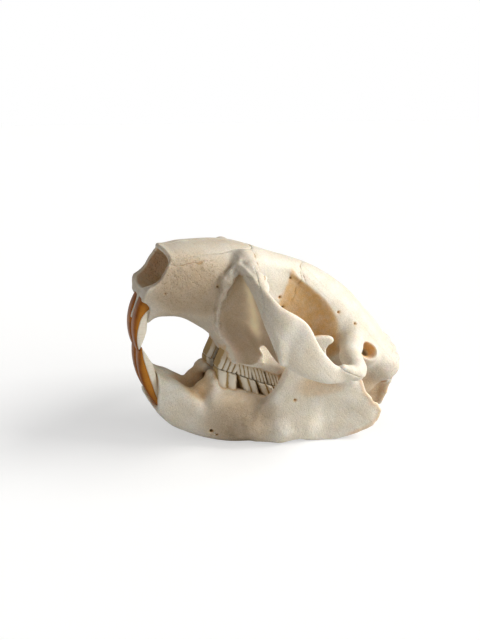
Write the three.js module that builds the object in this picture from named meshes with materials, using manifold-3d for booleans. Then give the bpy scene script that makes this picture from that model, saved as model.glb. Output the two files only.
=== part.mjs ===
// Beaver skull (Castor canadensis) with its lower jaw closed, life size, in millimetres.
//
// World frame: +Z up, the animal's left side is +X, and the nose points to -Y. The jaw stands on
// four small flats at z = 0. The cranium is shaped in a frame of its own, (x, s, t), whose s axis
// runs back along the tooth row and whose t axis stands square to it; that frame is pitched nose up.
//
// Every bone is an implicit solid: a function that is negative inside the bone. march() turns it
// into a closed mesh, thin() drops the triangles that flat stretches don't need, and manifold-3d
// parts the bones along their sutures and cuts the tooth sockets.
import * as THREE from 'three';
import Module from 'manifold-3d';
import { mergeVertices } from 'three/addons/utils/BufferGeometryUtils.js';

const wasm = await Module();
wasm.setup();

// ---- driving dimensions -------------------------------------------------------------------------
const PITCH = THREE.MathUtils.degToRad(22.5); // the tooth row slopes down towards the back
const MID_Y = 13.1; // middle of the skull's length, which is moved to y = 0
const GAP = 0.3; // clearance between neighbouring bones
const TOOTH_GAP = 0.55; // clearance between an incisor and its socket
const JAW_CLEARANCE = 0.8; // air between the lower jaw and the cranium
const OCCLUSAL_T = 25.6; // height of the chewing surface in the cranium frame
const UPPER_ALVEOLAR_T = 30.6; // edge of the bone round the upper cheek teeth
const GRID_CRANIUM = 1.6; // sampling step of the implicit solids
const GRID_JAW = 1.3;
const GRID_TOOTH = 0.9;
const FACES_CRANIUM = 3140; // triangles left after thinning
const FACES_JAW = 880;
const FACES_INCISOR = 150;

const BONE = { color: 0xe9e1d0, roughness: 0.62, metalness: 0 };
const ENAMEL = { color: 0x9a5a18, roughness: 0.28, metalness: 0 };

// ---- small maths --------------------------------------------------------------------------------
const clamp = THREE.MathUtils.clamp;
const mix = THREE.MathUtils.lerp;

function union(a, b, blend) {
  const h = Math.max(blend - Math.abs(a - b), 0) / blend;
  return Math.min(a, b) - h * h * blend / 4;
}

function common(a, b, blend) {
  return -union(-a, -b, blend);
}

function carve(a, b, blend) {
  return common(a, -b, blend);
}

// A smooth curve through [place, value] stations, flat beyond both ends.
function track(stations) {
  const slopes = stations.map((station, i) => {
    if (i === 0 || i === stations.length - 1) return 0;
    const [before, after] = [stations[i - 1], stations[i + 1]];
    return (after[1] - before[1]) / (after[0] - before[0]);
  });
  const last = stations.length - 1;
  return (place) => {
    if (place <= stations[0][0]) return stations[0][1];
    if (place >= stations[last][0]) return stations[last][1];
    let i = 0;
    while (stations[i + 1][0] < place) i += 1;
    const span = stations[i + 1][0] - stations[i][0];
    const u = (place - stations[i][0]) / span;
    const near = (1 + 2 * u) * (1 - u) ** 2 * stations[i][1] + u * (1 - u) ** 2 * span * slopes[i];
    const far = u * u * (3 - 2 * u) * stations[i + 1][1] - u * u * (1 - u) * span * slopes[i + 1];
    return near + far;
  };
}

// Distance to an oval with half axes a and b, squarer as the power rises.
function oval(p, q, a, b, power) {
  const u = Math.abs(p) / a;
  const v = Math.abs(q) / b;
  const rho = Math.max((u ** power + v ** power) ** (1 / power), 1e-6);
  const gradient = Math.hypot((u / rho) ** (power - 1) / a, (v / rho) ** (power - 1) / b);
  return (rho - 1) / Math.max(gradient, 1e-6);
}

function ellipsoid(x, y, z, centre, radii) {
  const [p, q, r] = [x - centre[0], y - centre[1], z - centre[2]];
  const [a, b, c] = radii;
  const k0 = Math.hypot(p / a, q / b, r / c);
  const k1 = Math.hypot(p / (a * a), q / (b * b), r / (c * c));
  return k1 < 1e-9 ? -Math.min(a, b, c) : k0 * (k0 - 1) / k1;
}

// A chain of round rods, each joint given as [x, y, z, radius].
function rods(x, y, z, joints, blend = 1.5) {
  let best = Infinity;
  for (let i = 0; i + 1 < joints.length; i += 1) {
    const [a, b] = [joints[i], joints[i + 1]];
    const d = [b[0] - a[0], b[1] - a[1], b[2] - a[2]];
    const along = (x - a[0]) * d[0] + (y - a[1]) * d[1] + (z - a[2]) * d[2];
    const h = clamp(along / (d[0] ** 2 + d[1] ** 2 + d[2] ** 2), 0, 1);
    const gap = Math.hypot(x - a[0] - d[0] * h, y - a[1] - d[1] * h, z - a[2] - d[2] * h);
    const rod = gap - mix(a[3], b[3], h);
    best = i === 0 ? rod : union(best, rod, blend);
  }
  return best;
}

// Signed distance to a closed outline in a plane.
function outline(p, q, points) {
  let nearest = Infinity;
  let inside = false;
  for (let i = 0, j = points.length - 1; i < points.length; j = i, i += 1) {
    const [ax, ay] = points[j];
    const [bx, by] = points[i];
    const h = clamp(((p - ax) * (bx - ax) + (q - ay) * (by - ay)) / ((bx - ax) ** 2 + (by - ay) ** 2), 0, 1);
    nearest = Math.min(nearest, Math.hypot(p - ax - (bx - ax) * h, q - ay - (by - ay) * h));
    if ((ay > q) !== (by > q) && p < (bx - ax) * (q - ay) / (by - ay) + ax) inside = !inside;
  }
  return inside ? -nearest : nearest;
}

// ---- cranium, in its own frame (x, s, t); both sides are alike, so x is taken as |x| -------------
const roofTop = track([[-70, 69.4], [-60, 73.9], [-50, 77.9], [-40, 80.9], [-30, 82], [-18, 82.4],
  [-6, 83.1], [6, 82.9], [16, 81.2], [26, 78.4], [36, 74], [46, 69.2], [58, 62.6]]);
const roofMid = track([[-70, 57.5], [-60, 58], [-50, 61], [-40, 64], [-30, 68], [-20, 69.5],
  [-10, 69], [0, 66], [10, 62.5], [20, 60], [30, 57.5], [40, 55], [50, 52.5], [58, 50]]);
const roofLow = track([[-70, 47], [-60, 44], [-50, 46], [-40, 46], [-30, 49], [-20, 51], [-10, 50],
  [0, 46], [10, 42], [20, 38.5], [30, 38], [40, 38.5], [50, 40], [58, 42]]);
const roofWide = track([[-70, 12.8], [-60, 16], [-50, 18], [-42, 18.8], [-34, 17.5], [-26, 15],
  [-18, 13.8], [-10, 13.8], [0, 15.8], [10, 19.8], [20, 23.2], [30, 25], [40, 25.5], [50, 24], [60, 19]]);
// The wall of the eye socket.
const socketWall = track([[-36, 14.6], [-28, 14.2], [-20, 13.4], [-10, 11.4], [0, 12.3], [8, 13.6],
  [16, 15]]);
// The edge where the braincase turns in to the eye socket: its place and half width at height t.
const fossaRim = track([[44, 25], [52.8, 21.7], [57.6, 16.7], [65.3, 11.4], [71.5, 5.7], [74.6, -0.3],
  [78, -8]]);
const fossaRimX = track([[52.8, 24.5], [57.6, 22], [65.3, 18.6], [71.5, 16.6], [74.6, 15], [78, 13]]);
// The front rim of the nose opening, from the roof of the incisor socket up to the nasals.
const noseRim = track([[42, -70.8], [46, -71], [49, -71.7], [51, -72], [52.6, -71.3], [54.6, -69.6],
  [57.5, -68.2], [61, -67.6], [66, -66.7], [69, -66.9], [76, -67.4]]);
const passageWide = track([[-72, 11.2], [-68, 11.8], [-62, 12.4], [-54, 11.4], [-44, 10]]);
const jawLow = track([[-73, 35.6], [-64.6, 35.6], [-62.8, 38], [-60.5, 40.4], [-58, 41.8], [-54, 43],
  [-49, 43.2],
  [-44, 42], [-39, 40.4], [-34, 38.6], [-29.4, 36.2], [-26, 32.8], [-23.6, UPPER_ALVEOLAR_T],
  [8, UPPER_ALVEOLAR_T]]);
const jawHigh = track([[-70, 54], [-60, 58], [-45, 62], [-30, 64], [-18, 61], [-6, 56], [8, 53]]);
const jawWide = track([[-70, 9.9], [-64, 9.9], [-60, 9.6], [-50, 10.2], [-40, 11.2], [-33, 13], [-27, 15.4],
  [-18, 16.4], [-8, 17.6], [2, 18.6], [8, 17]]);
// The edge of the upper incisor's socket arches over the enamel and runs down behind it.
const socketArch = track([[0, 35.4], [0.6, 36.4], [2, 39.4], [3.5, 41.8], [5, 43.2], [7.4, 45], [9, 45.4],
  [14, 45.6]]);
const socketBack = track([[34, -64.7], [36, -65], [39.5, -65.7], [42.8, -66.5], [44.4, -67.5],
  [45.6, -69.2]]);

// Zygomatic arch: the outer face in plan, and the upper and lower borders of the jugal leaf.
const archOut = track([[-46, 17], [-41, 22], [-37, 29.3], [-33.7, 34], [-30, 38], [-26, 42],
  [-22, 44.4], [-17, 45.6], [-12, 47.4], [-4, 49], [3, 49.6], [9, 49], [15, 47.8], [20, 46], [26, 42]]);
const archTop = track([[-41, 75.4], [-36.6, 73.2], [-34.8, 71.4], [-32.4, 70.2], [-30.2, 69], [-27.4, 67],
  [-24.9, 65.6], [-21, 64.8], [-17.7, 64.2], [-13.4, 62.7], [-9.5, 59.7], [-7.4, 57.7], [-4.2, 55], [1, 51.9],
  [5, 50.1], [9.8, 48.6], [16.6, 47.9], [24, 47.4]]);
const archLow = track([[-41, 72.6], [-36.8, 69.6], [-33.7, 65.5], [-30, 60], [-26.3, 54], [-22.3, 48.6],
  [-19.7, 45.6], [-18, 44.2], [-15.1, 42.7], [-10, 41.6], [-6.1, 41.1], [0, 40.9], [4.8, 41.1], [8, 41.8],
  [11.3, 42.8], [14, 44.2], [16.7, 45.2], [20, 45.6], [24, 46]]);
const archThick = track([[-41, 3.4], [-30, 2.9], [-20, 2.5], [0, 2.3], [14, 2.1], [24, 2]]);

// Zygomatic plate: where its face meets the muzzle and where it meets the jugal, at height t.
const PLATE_IN_X = 17;
const plateInS = track([[32, -23], [35, -24.5], [38.2, -28.4], [41.9, -34], [46, -37.3], [52.1, -39.8],
  [58.2, -40.6], [64.2, -41], [68, -42], [71.2, -41.4], [75, -40]]);
const plateOutX = track([[41, 44.6], [48, 44.3], [52.3, 43.6], [56.6, 41], [61.6, 37], [67.2, 32],
  [69.6, 29.2],
  [71.4, 26.4], [72.8, 23.5], [75, 20]]);
const plateOutS = track([[41, -17.5], [45.6, -19.7], [52.3, -23], [56.6, -26.1], [61.6, -30.4], [67.2, -33.8],
  [69.6, -35.4], [72.3, -37.7], [75, -41]]);
const plateHollow = track([[40, 3], [46, 5.6], [54, 7], [62, 6], [67, 4.6], [70, 3], [73, 0.8], [75, 0]]);
const plateLowHollow = track([[34, 11], [40, 11], [44, 8], [49, 3], [54, 0]]);
const lowHollowShape = track([[0, 0], [0.07, 0.5], [0.17, 1], [0.33, 0.66], [0.5, 0.34], [0.72, 0.1],
  [1, 0]]);
const plateThick = track([[40, 3.4], [48, 3.5], [60, 3.5], [67, 4.6], [73, 7.6]]);
const plateLow = track([[15, 30.8], [17.6, 31.8], [19.6, 35], [21, 38.6], [24, 41.6], [28, 44.8],
  [30.5, 45.8],
  [33, 45.2], [36, 44], [40, 43], [44, 42.6], [46, 42.6]]);

const crest = [[0, 56, 62.2, 1.6], [9, 56.6, 61, 1.6], [17, 55.6, 58.8, 1.7], [24, 53.6, 56, 1.8],
  [28.5, 51, 52.4, 1.9], [29.5, 48.6, 48.6, 1.9]];
const squamosalRoot = [[21, 27.5, 60, 7], [29, 23.6, 55.8, 4.6], [34, 20.8, 52.8, 4], [38, 21.2, 51, 3.9],
  [42, 21.4, 49.6, 3.3], [45, 18.6, 48.9, 2.3], [47, 14, 49.4, 1.6], [48.2, 9.5, 50.4, 1.2]];
const alveolus = [[8.8, -24, 36.4, 5.1], [9.6, -21, 36.3, 5.4], [12, -15, 36.2, 5.4], [15, -2, 35.8, 5.2]];
const earTube = [[15, 39, 43, 6], [27, 34.8, 54.6, 5.6]];
const paroccipital = [[25, 50.5, 49.4, 4.4], [23, 55.8, 44.4, 2.2], [20.6, 58.8, 37.4, 1.9],
  [18.6, 60.6, 31.4, 1.7]];
const paroccipitalWeb = [[50, 48], [57, 46.4], [59.6, 40], [61.8, 31], [58, 29.8], [52, 32], [48, 38]];
const pterygoid = [[7, 6, 40, 3], [7.5, 14, 37, 2], [8, 19, 33, 1.6], [10, 24, 35, 1.5]];
const archRoot = [[14.5, -36, 76.6, 4.6], [22, -35.4, 74.2, 3.2], [27.5, -33.6, 71.6, 2.4],
  [33, -31.6, 68.6, 2]];
// A knobby ridge of bone along the muzzle's side, in front of the plate.
const knobbyRidge = [[19.4, -40.4, 72.6, 2.2], [19.6, -42.4, 66.6, 2.7], [18.8, -42, 60, 2],
  [17.4, -40.4, 52.4, 1.5], [16.8, -38, 46.4, 1.3], [16, -33.6, 41.4, 1.2]];

// Where along s the hollow front of the zygomatic plate is.
function plateFace(x, t) {
  const u = clamp((x - PLATE_IN_X) / (plateOutX(t) - PLATE_IN_X), -0.2, 1.1);
  const hollow = plateHollow(t) * Math.max(4 * u * (1 - u), 0) + plateLowHollow(t) * lowHollowShape(u);
  return mix(plateInS(t), plateOutS(t), u) + hollow;
}

function zygomaticPlate(x, s, t) {
  const across = plateFace(x + 0.5, t) - plateFace(x - 0.5, t);
  const upward = plateFace(x, t + 0.5) - plateFace(x, t - 0.5);
  const half = plateThick(t) / 2;
  const slab = Math.abs((s - plateFace(x, t)) / Math.hypot(1, across, upward) - half) - half;
  const inPlan = common(x - plateOutX(t) - 0.5, PLATE_IN_X - 4 - x, 1);
  return common(common(slab, inPlan, 1), common(plateLow(x) - t, t - 77, 1), 1);
}

function jugalLeaf(x, s, t) {
  const half = (archTop(s) - archLow(s)) / 2;
  const middle = (archTop(s) + archLow(s)) / 2;
  const slope = (archOut(s + 1) - archOut(s - 1)) / 2;
  const thick = archThick(s);
  const across = (x - archOut(s)) / Math.hypot(1, slope) + thick;
  const leaf = oval(across, t - middle, thick, half, 2.6);
  return common(leaf, Math.abs(s + 8.5) - 33, 2);
}

function craniumSide(x, s, t) {
  const mid = roofMid(s);
  const tall = t > mid ? roofTop(s) - mid : mid - roofLow(s);
  const muzzleAndCase = oval(x, t - mid, roofWide(s), tall, 2.2);
  const socketSpace = Math.max(s - fossaRim(t) - 0.9 * (x - fossaRimX(t)), (-28 - s) / 1.3, (t - 79) / 1.1);
  const neck = oval(x, t - mid, socketWall(s), tall, 3);
  let bone = union(neck, carve(muzzleAndCase, socketSpace / 1.3, 1.4), 2.5);
  bone = common(bone, s - 57.6 - 0.12 * (58 - t), 3);

  const low = jawLow(s);
  const high = jawHigh(s);
  let palate = oval(x, t - (low + high) / 2, jawWide(s), (high - low) / 2, 3);
  palate = common(palate, s - 8 + 0.3 * (t - 40), 3);
  bone = union(bone, palate, 7);
  const nasalTip = 2.6 * Math.max(1 - (x / 12) ** 2, 0) * clamp((t - 65) / 3, 0, 1);
  bone = common(bone, noseRim(t) - nasalTip - s, 0.8);
  bone = carve(bone, common(t - socketArch(x), s - socketBack(t), 0.6), 0.6);

  bone = union(bone, rods(x, s, t, archRoot, 2), 3);
  bone = union(bone, zygomaticPlate(x, s, t), 2);
  bone = union(bone, rods(x, s, t, knobbyRidge), 1);
  bone = union(bone, jugalLeaf(x, s, t), 1.6);
  bone = union(bone, rods(x, s, t, squamosalRoot, 3), 4);

  bone = union(bone, ellipsoid(x, s, t, [21.5, 46.5, 50.5], [9, 9, 9]), 5);
  bone = union(bone, rods(x, s, t, crest, 3), 4);
  bone = union(bone, ellipsoid(x, s, t, [16, 42.5, 41.2], [9.6, 11.4, 9.8]), 3);
  bone = union(bone, rods(x, s, t, alveolus, 2), 4);
  bone = union(bone, rods(x, s, t, earTube), 3);
  bone = union(bone, rods(x, s, t, paroccipital), 4);
  const web = common(Math.abs(x - 18.6 - 0.25 * (t - 36)) - 1.6, outline(s, t, paroccipitalWeb), 1);
  bone = union(bone, web, 2);
  bone = union(bone, ellipsoid(x, s, t, [9.5, 59.6, 43], [4.6, 5.4, 6.6]), 3);
  bone = union(bone, ellipsoid(x, s, t, [0, 32, 44], [9, 30, 6]), 5);
  bone = union(bone, rods(x, s, t, pterygoid, 2), 3);

  // Openings: the nasal passage, the jaw joint, the ear, the foramen magnum, the throat side of
  // the palate, the pit under the skull base and the hollow in the eye socket.
  const passage = common(oval(x, t - 59.2, passageWide(s), 8.7, 2.5), t - roofTop(s) + 2.2, 1.5);
  bone = carve(bone, common(passage, s + 46 - 0.5 * (t - 57), 4), 0.6);
  bone = carve(bone, ellipsoid(x, s, t, [36, 20.5, 42.4], [4.2, 13, 4.6]), 1.2);
  bone = carve(bone, ellipsoid(x, s, t, [32.6, 32.6, 57], [7.4, 4, 3.8]), 0.8);
  bone = carve(bone, rods(x, s, t, [[29, 32.6, 56.2, 2.4], [21, 36.4, 50.6, 2]]), 0.8);
  bone = carve(bone, ellipsoid(x, s, t, [39, 31, 49], [8, 5.4, 8.5]), 1);
  bone = carve(bone, ellipsoid(x, s, t, [0, 63, 50], [8.6, 12, 6.6]), 1);
  bone = carve(bone, rods(x, s, t, [[0, 8, 36, 3.6], [0, 30, 30, 5.2]]), 1.5);
  bone = carve(bone, ellipsoid(x, s, t, [0, 44, 35.5], [5.4, 9, 6]), 1.5);
  bone = carve(bone, ellipsoid(x, s, t, [0, -10, 29.4], [6.6, 26, 3.4]), 1.5);
  bone = carve(bone, ellipsoid(x, s, t, [15.5, -4, 60], [4.2, 6, 5.6]), 3);
  return bone;
}

// ---- lower jaw, left half, in the world frame ----------------------------------------------------
const bodyX = track([[-50, 4.8], [-42, 5.8], [-33, 7.4], [-25, 9.8], [-15, 12.8], [-5, 15.6], [5, 19.4],
  [15, 24], [25, 28]]);
const bodyWide = track([[-50, 4.4], [-42, 5.6], [-33, 7.2], [-25, 8.8], [-15, 9.6], [-5, 9.2], [5, 8],
  [15, 5.6], [25, 4]]);
const bodyLow = track([[-50, 23], [-47.5, 19.8], [-42, 12.4], [-36, 7.4], [-30, 4.4], [-22, 1.6], [-14, -0.2],
  [-6, -0.9], [4, 0.2], [12, 2], [25, 3]]);
const bodyTop = track([[-50, 31], [-44, 35], [-39, 32.4], [-34, 29.6], [-28, 25], [-24, 22.4], [-20, 24.6],
  [-12, 24], [-3, 22.2], [5, 20], [12, 19], [25, 20]]);
const ramusOutline = [[-2, 3], [-1, 14], [0.5, 19], [3.6, 23], [7, 28], [9.4, 33], [11.2, 38.5], [14, 43.6],
  [18, 48], [22, 50.2], [26.5, 50.9], [30, 50.6], [31.8, 49.6], [32.1, 48.4], [31.4, 47.4], [29.4, 46.4],
  [28.4, 44.6], [28.4, 42], [30.4, 37.6], [33.6, 33.6], [38, 33.4], [42, 33], [44.8, 30.8], [46, 27.6],
  [47.8, 22.6], [50.4, 19.4], [51, 17.8], [53.6, 16.4], [55.2, 13], [53.4, 8.4], [48, 4.8], [41, 2],
  [33, 0.1],
  [26, 0.1], [17, 2.4], [8, 1.8]];
const ramusX = track([[-2, 22.6], [6, 27], [14, 29.2], [24, 31], [34, 33.4], [44, 35.8], [56, 37.6]]);

const socketRim = track([[-3, -46.4], [1.3, -47.6], [5, -49.1], [9.1, -50.2], [13, -51.6], [16.1, -52.7],
  [18, -53]]);
const labialRim = track([[0, 7], [2, 4], [4, 1], [7, -0.8], [9, -1.4]]);
const socketShell = track([[-60, 0.8], [-50, 1.7], [-44, 2.3], [-36, 4], [-28, 9], [-22, 40]]);
// The edge of the bone round the lower cheek teeth: the slope before them, their front and tongue side,
// and the lower edge on the cheek side.
const lowerAlveolus = [
  [[6.8, -31.6, 8.5, 4.2], [7.2, -30, 14, 3.8], [7.4, -28, 19, 2.6]],
  [[12.2, -25, 15.6, 2], [11, -27, 19, 1.8], [7.6, -28.4, 20.8, 1.9], [4.2, -26.4, 20.4, 1.8],
    [5.6, -14, 19, 1.6], [9.4, -1, 18.6, 1.8]],
  [[12.2, -25, 14.6, 2.3], [13.8, -14, 16.4, 2], [16.6, -5, 16.8, 2]],
];

// A world point's place in the cranium frame.
function pitched(y, z) {
  const [cos, sin] = [Math.cos(PITCH), Math.sin(PITCH)];
  return { s: y * cos - z * sin, t: y * sin + z * cos };
}

function jawSide(x, y, z) {
  const low = bodyLow(y);
  const high = bodyTop(y);
  let bone = oval(x - bodyX(y), z - (low + high) / 2, bodyWide(y), (high - low) / 2, 2.7);
  bone = common(bone, Math.abs(y + 12) - 37.4, 3);
  const lean = 0.14 * (z - 20) * clamp((y - 30) / 20, 0, 1) + 0.08 * Math.max(z - 30, 0);
  const sheet = Math.abs(x - ramusX(y) + lean) - mix(2.6, 1.7, clamp(y / 40, 0, 1));
  bone = union(bone, common(sheet, outline(y, z, ramusOutline) - 0.2, 1.8), 4);
  bone = union(bone, rods(x, y, z, [[36.4, 33, 32.4, 2.2], [36.4, 39, 31.4, 2.8]]), 2);
  bone = union(bone, rods(x, y, z, [[26, 18, 24, 3], [33.6, 38, 30, 3]]), 5);
  bone = union(bone, rods(x, y, z, [[28, 22, 1.6, 2.4], [31, 34, 1.6, 2.4], [35, 48, 6, 1.8]]), 3);
  bone = carve(bone, ellipsoid(x, y, z, [41.5, 26, 14], [7, 17, 8]), 4);
  bone = union(bone, rods(x, y, z, [[25, -6, 9, 2.4], [26.6, 8, 7, 2.6], [30.4, 20, 8, 2.2]]), 8);
  bone = union(bone, ellipsoid(x, y, z, [28.4, 8.4, 7.6], [3.4, 3.6, 3.4]), 4);
  const { s, t } = pitched(y, z);
  for (const edge of lowerAlveolus) bone = union(bone, rods(x, s, t, edge, 2), 3);
  // Round the incisor the bone is a thin shell that follows the tooth, cut back to the socket's rim.
  const reach = Math.hypot(s - lowerArc.s, t - lowerArc.t) - lowerArc.outer;
  bone = common(bone, reach - socketShell(s), 1);
  bone = carve(bone, common(s - socketRim(t), labialRim(x) - t, 0.8), 0.8);
  bone = common(bone, JAW_CLEARANCE - craniumSide(x, s, t), 0.5);
  return common(bone, GAP / 2 - x, 0.4);
}

// ---- teeth ---------------------------------------------------------------------------------------
const incisorCore = 4.35; // middle of each incisor, off the skull's mid plane
const incisorHalf = 4.05;
const upperArc = { s: -44, t: 41, inner: 21, outer: 27.1, facet: -64.4 };
const lowerArc = { s: -28, t: 33, inner: 30.5, outer: 37.5, facet: -64.1 };

function incisorRing(x, s, t, arc, power) {
  const reach = Math.hypot(s - arc.s, t - arc.t);
  const middle = (arc.inner + arc.outer) / 2;
  return oval(x - incisorCore, reach - middle, incisorHalf, (arc.outer - arc.inner) / 2, power);
}

function upperIncisor(x, s, t) {
  const tooth = incisorRing(x, s, t, upperArc, 3.4);
  return common(common(tooth, s - upperArc.facet - 0.04 * (t - 22), 0.6), t - 49, 1);
}

function lowerIncisor(x, s, t) {
  const tooth = incisorRing(x, s, t, lowerArc, 3.4);
  const bevel = (t - 26.2 - 0.84 * (s - lowerArc.facet) * -1) / 1.3;
  return common(common(tooth, lowerArc.facet - s, 0.4), common(bevel, s + 40, 1), 0.6);
}

// ---- implicit solid to closed mesh ---------------------------------------------------------------
const CUBE_TETS = [[0, 5, 1, 6], [0, 1, 2, 6], [0, 2, 3, 6], [0, 3, 7, 6], [0, 7, 4, 6], [0, 4, 5, 6]];
const CUBE_CORNERS = [[0, 0, 0], [1, 0, 0], [1, 1, 0], [0, 1, 0], [0, 0, 1], [1, 0, 1], [1, 1, 1], [0, 1, 1]];

// Marching tetrahedra over a box: six tetrahedra to a cube share its long diagonal.
function march(solid, low, high, step) {
  const count = low.map((edge, axis) => Math.ceil((high[axis] - edge) / step) + 1);
  const at = (i, axis) => low[axis] + i * step;
  const field = new Float64Array(count[0] * count[1] * count[2]);
  const index = (i, j, k) => (k * count[1] + j) * count[0] + i;
  for (let k = 0; k < count[2]; k += 1) {
    for (let j = 0; j < count[1]; j += 1) {
      for (let i = 0; i < count[0]; i += 1) {
        field[index(i, j, k)] = solid(at(i, 0), at(j, 1), at(k, 2)) || 1e-9;
      }
    }
  }
  const positions = [];
  const triangles = [];
  const seen = new Map();
  const crossing = (a, b) => {
    const [p, q] = a < b ? [a, b] : [b, a];
    const key = p * field.length + q;
    if (!seen.has(key)) {
      const u = clamp(field[p] / (field[p] - field[q]), 0.04, 0.96);
      for (let axis = 0, stride = 1; axis < 3; stride *= count[axis], axis += 1) {
        const [ip, iq] = [Math.floor(p / stride) % count[axis], Math.floor(q / stride) % count[axis]];
        positions.push(low[axis] + mix(ip, iq, u) * step);
      }
      seen.set(key, seen.size);
    }
    return seen.get(key);
  };
  const place = (c) => new THREE.Vector3(c % count[0], Math.floor(c / count[0]) % count[1],
    Math.floor(c / count[0] / count[1]));
  // One triangle through three edges of a tetrahedron, turned so that it faces the outer corners.
  const face = (edges, out) => {
    const [u, v, w] = edges.map(([a, b]) => place(a).add(place(b)));
    const ids = edges.map(([a, b]) => crossing(a, b));
    triangles.push(...(v.sub(u).cross(w.sub(u)).dot(out) > 0 ? ids : [ids[0], ids[2], ids[1]]));
  };
  const walk = (corners) => {
    const inner = corners.filter((c) => field[c] < 0);
    const outer = corners.filter((c) => field[c] >= 0);
    if (inner.length === 0 || outer.length === 0) return;
    const out = place(outer[0]).sub(place(inner[0]));
    if (inner.length === 2) {
      const ring = [[0, 0], [0, 1], [1, 1], [1, 0]].map(([i, j]) => [inner[i], outer[j]]);
      face([ring[0], ring[1], ring[2]], out);
      face([ring[0], ring[2], ring[3]], out);
    } else {
      const [apex, base] = inner.length === 1 ? [inner[0], outer] : [outer[0], inner];
      face(base.map((c) => [apex, c]), out);
    }
  };
  for (let k = 0; k + 1 < count[2]; k += 1) {
    for (let j = 0; j + 1 < count[1]; j += 1) {
      for (let i = 0; i + 1 < count[0]; i += 1) {
        const cube = CUBE_CORNERS.map(([a, b, c]) => index(i + a, j + b, k + c));
        const inside = cube.filter((c) => field[c] < 0).length;
        if (inside > 0 && inside < 8) CUBE_TETS.forEach((tet) => walk(tet.map((c) => cube[c])));
      }
    }
  }
  return { positions, triangles };
}

// A heap of [cost, ...] entries, cheapest first.
class Queue {
  items = [];

  push(item) {
    const { items } = this;
    let i = items.push(item) - 1;
    while (i > 0) {
      const parent = (i - 1) >> 1;
      if (items[parent][0] <= items[i][0]) break;
      [items[parent], items[i]] = [items[i], items[parent]];
      i = parent;
    }
  }

  pop() {
    const { items } = this;
    const top = items[0];
    const tail = items.pop();
    if (items.length === 0) return top;
    items[0] = tail;
    for (let i = 0; ;) {
      let least = i;
      for (const child of [2 * i + 1, 2 * i + 2]) {
        if (child < items.length && items[child][0] < items[least][0]) least = child;
      }
      if (least === i) return top;
      [items[least], items[i]] = [items[i], items[least]];
      i = least;
    }
  }
}

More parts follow.
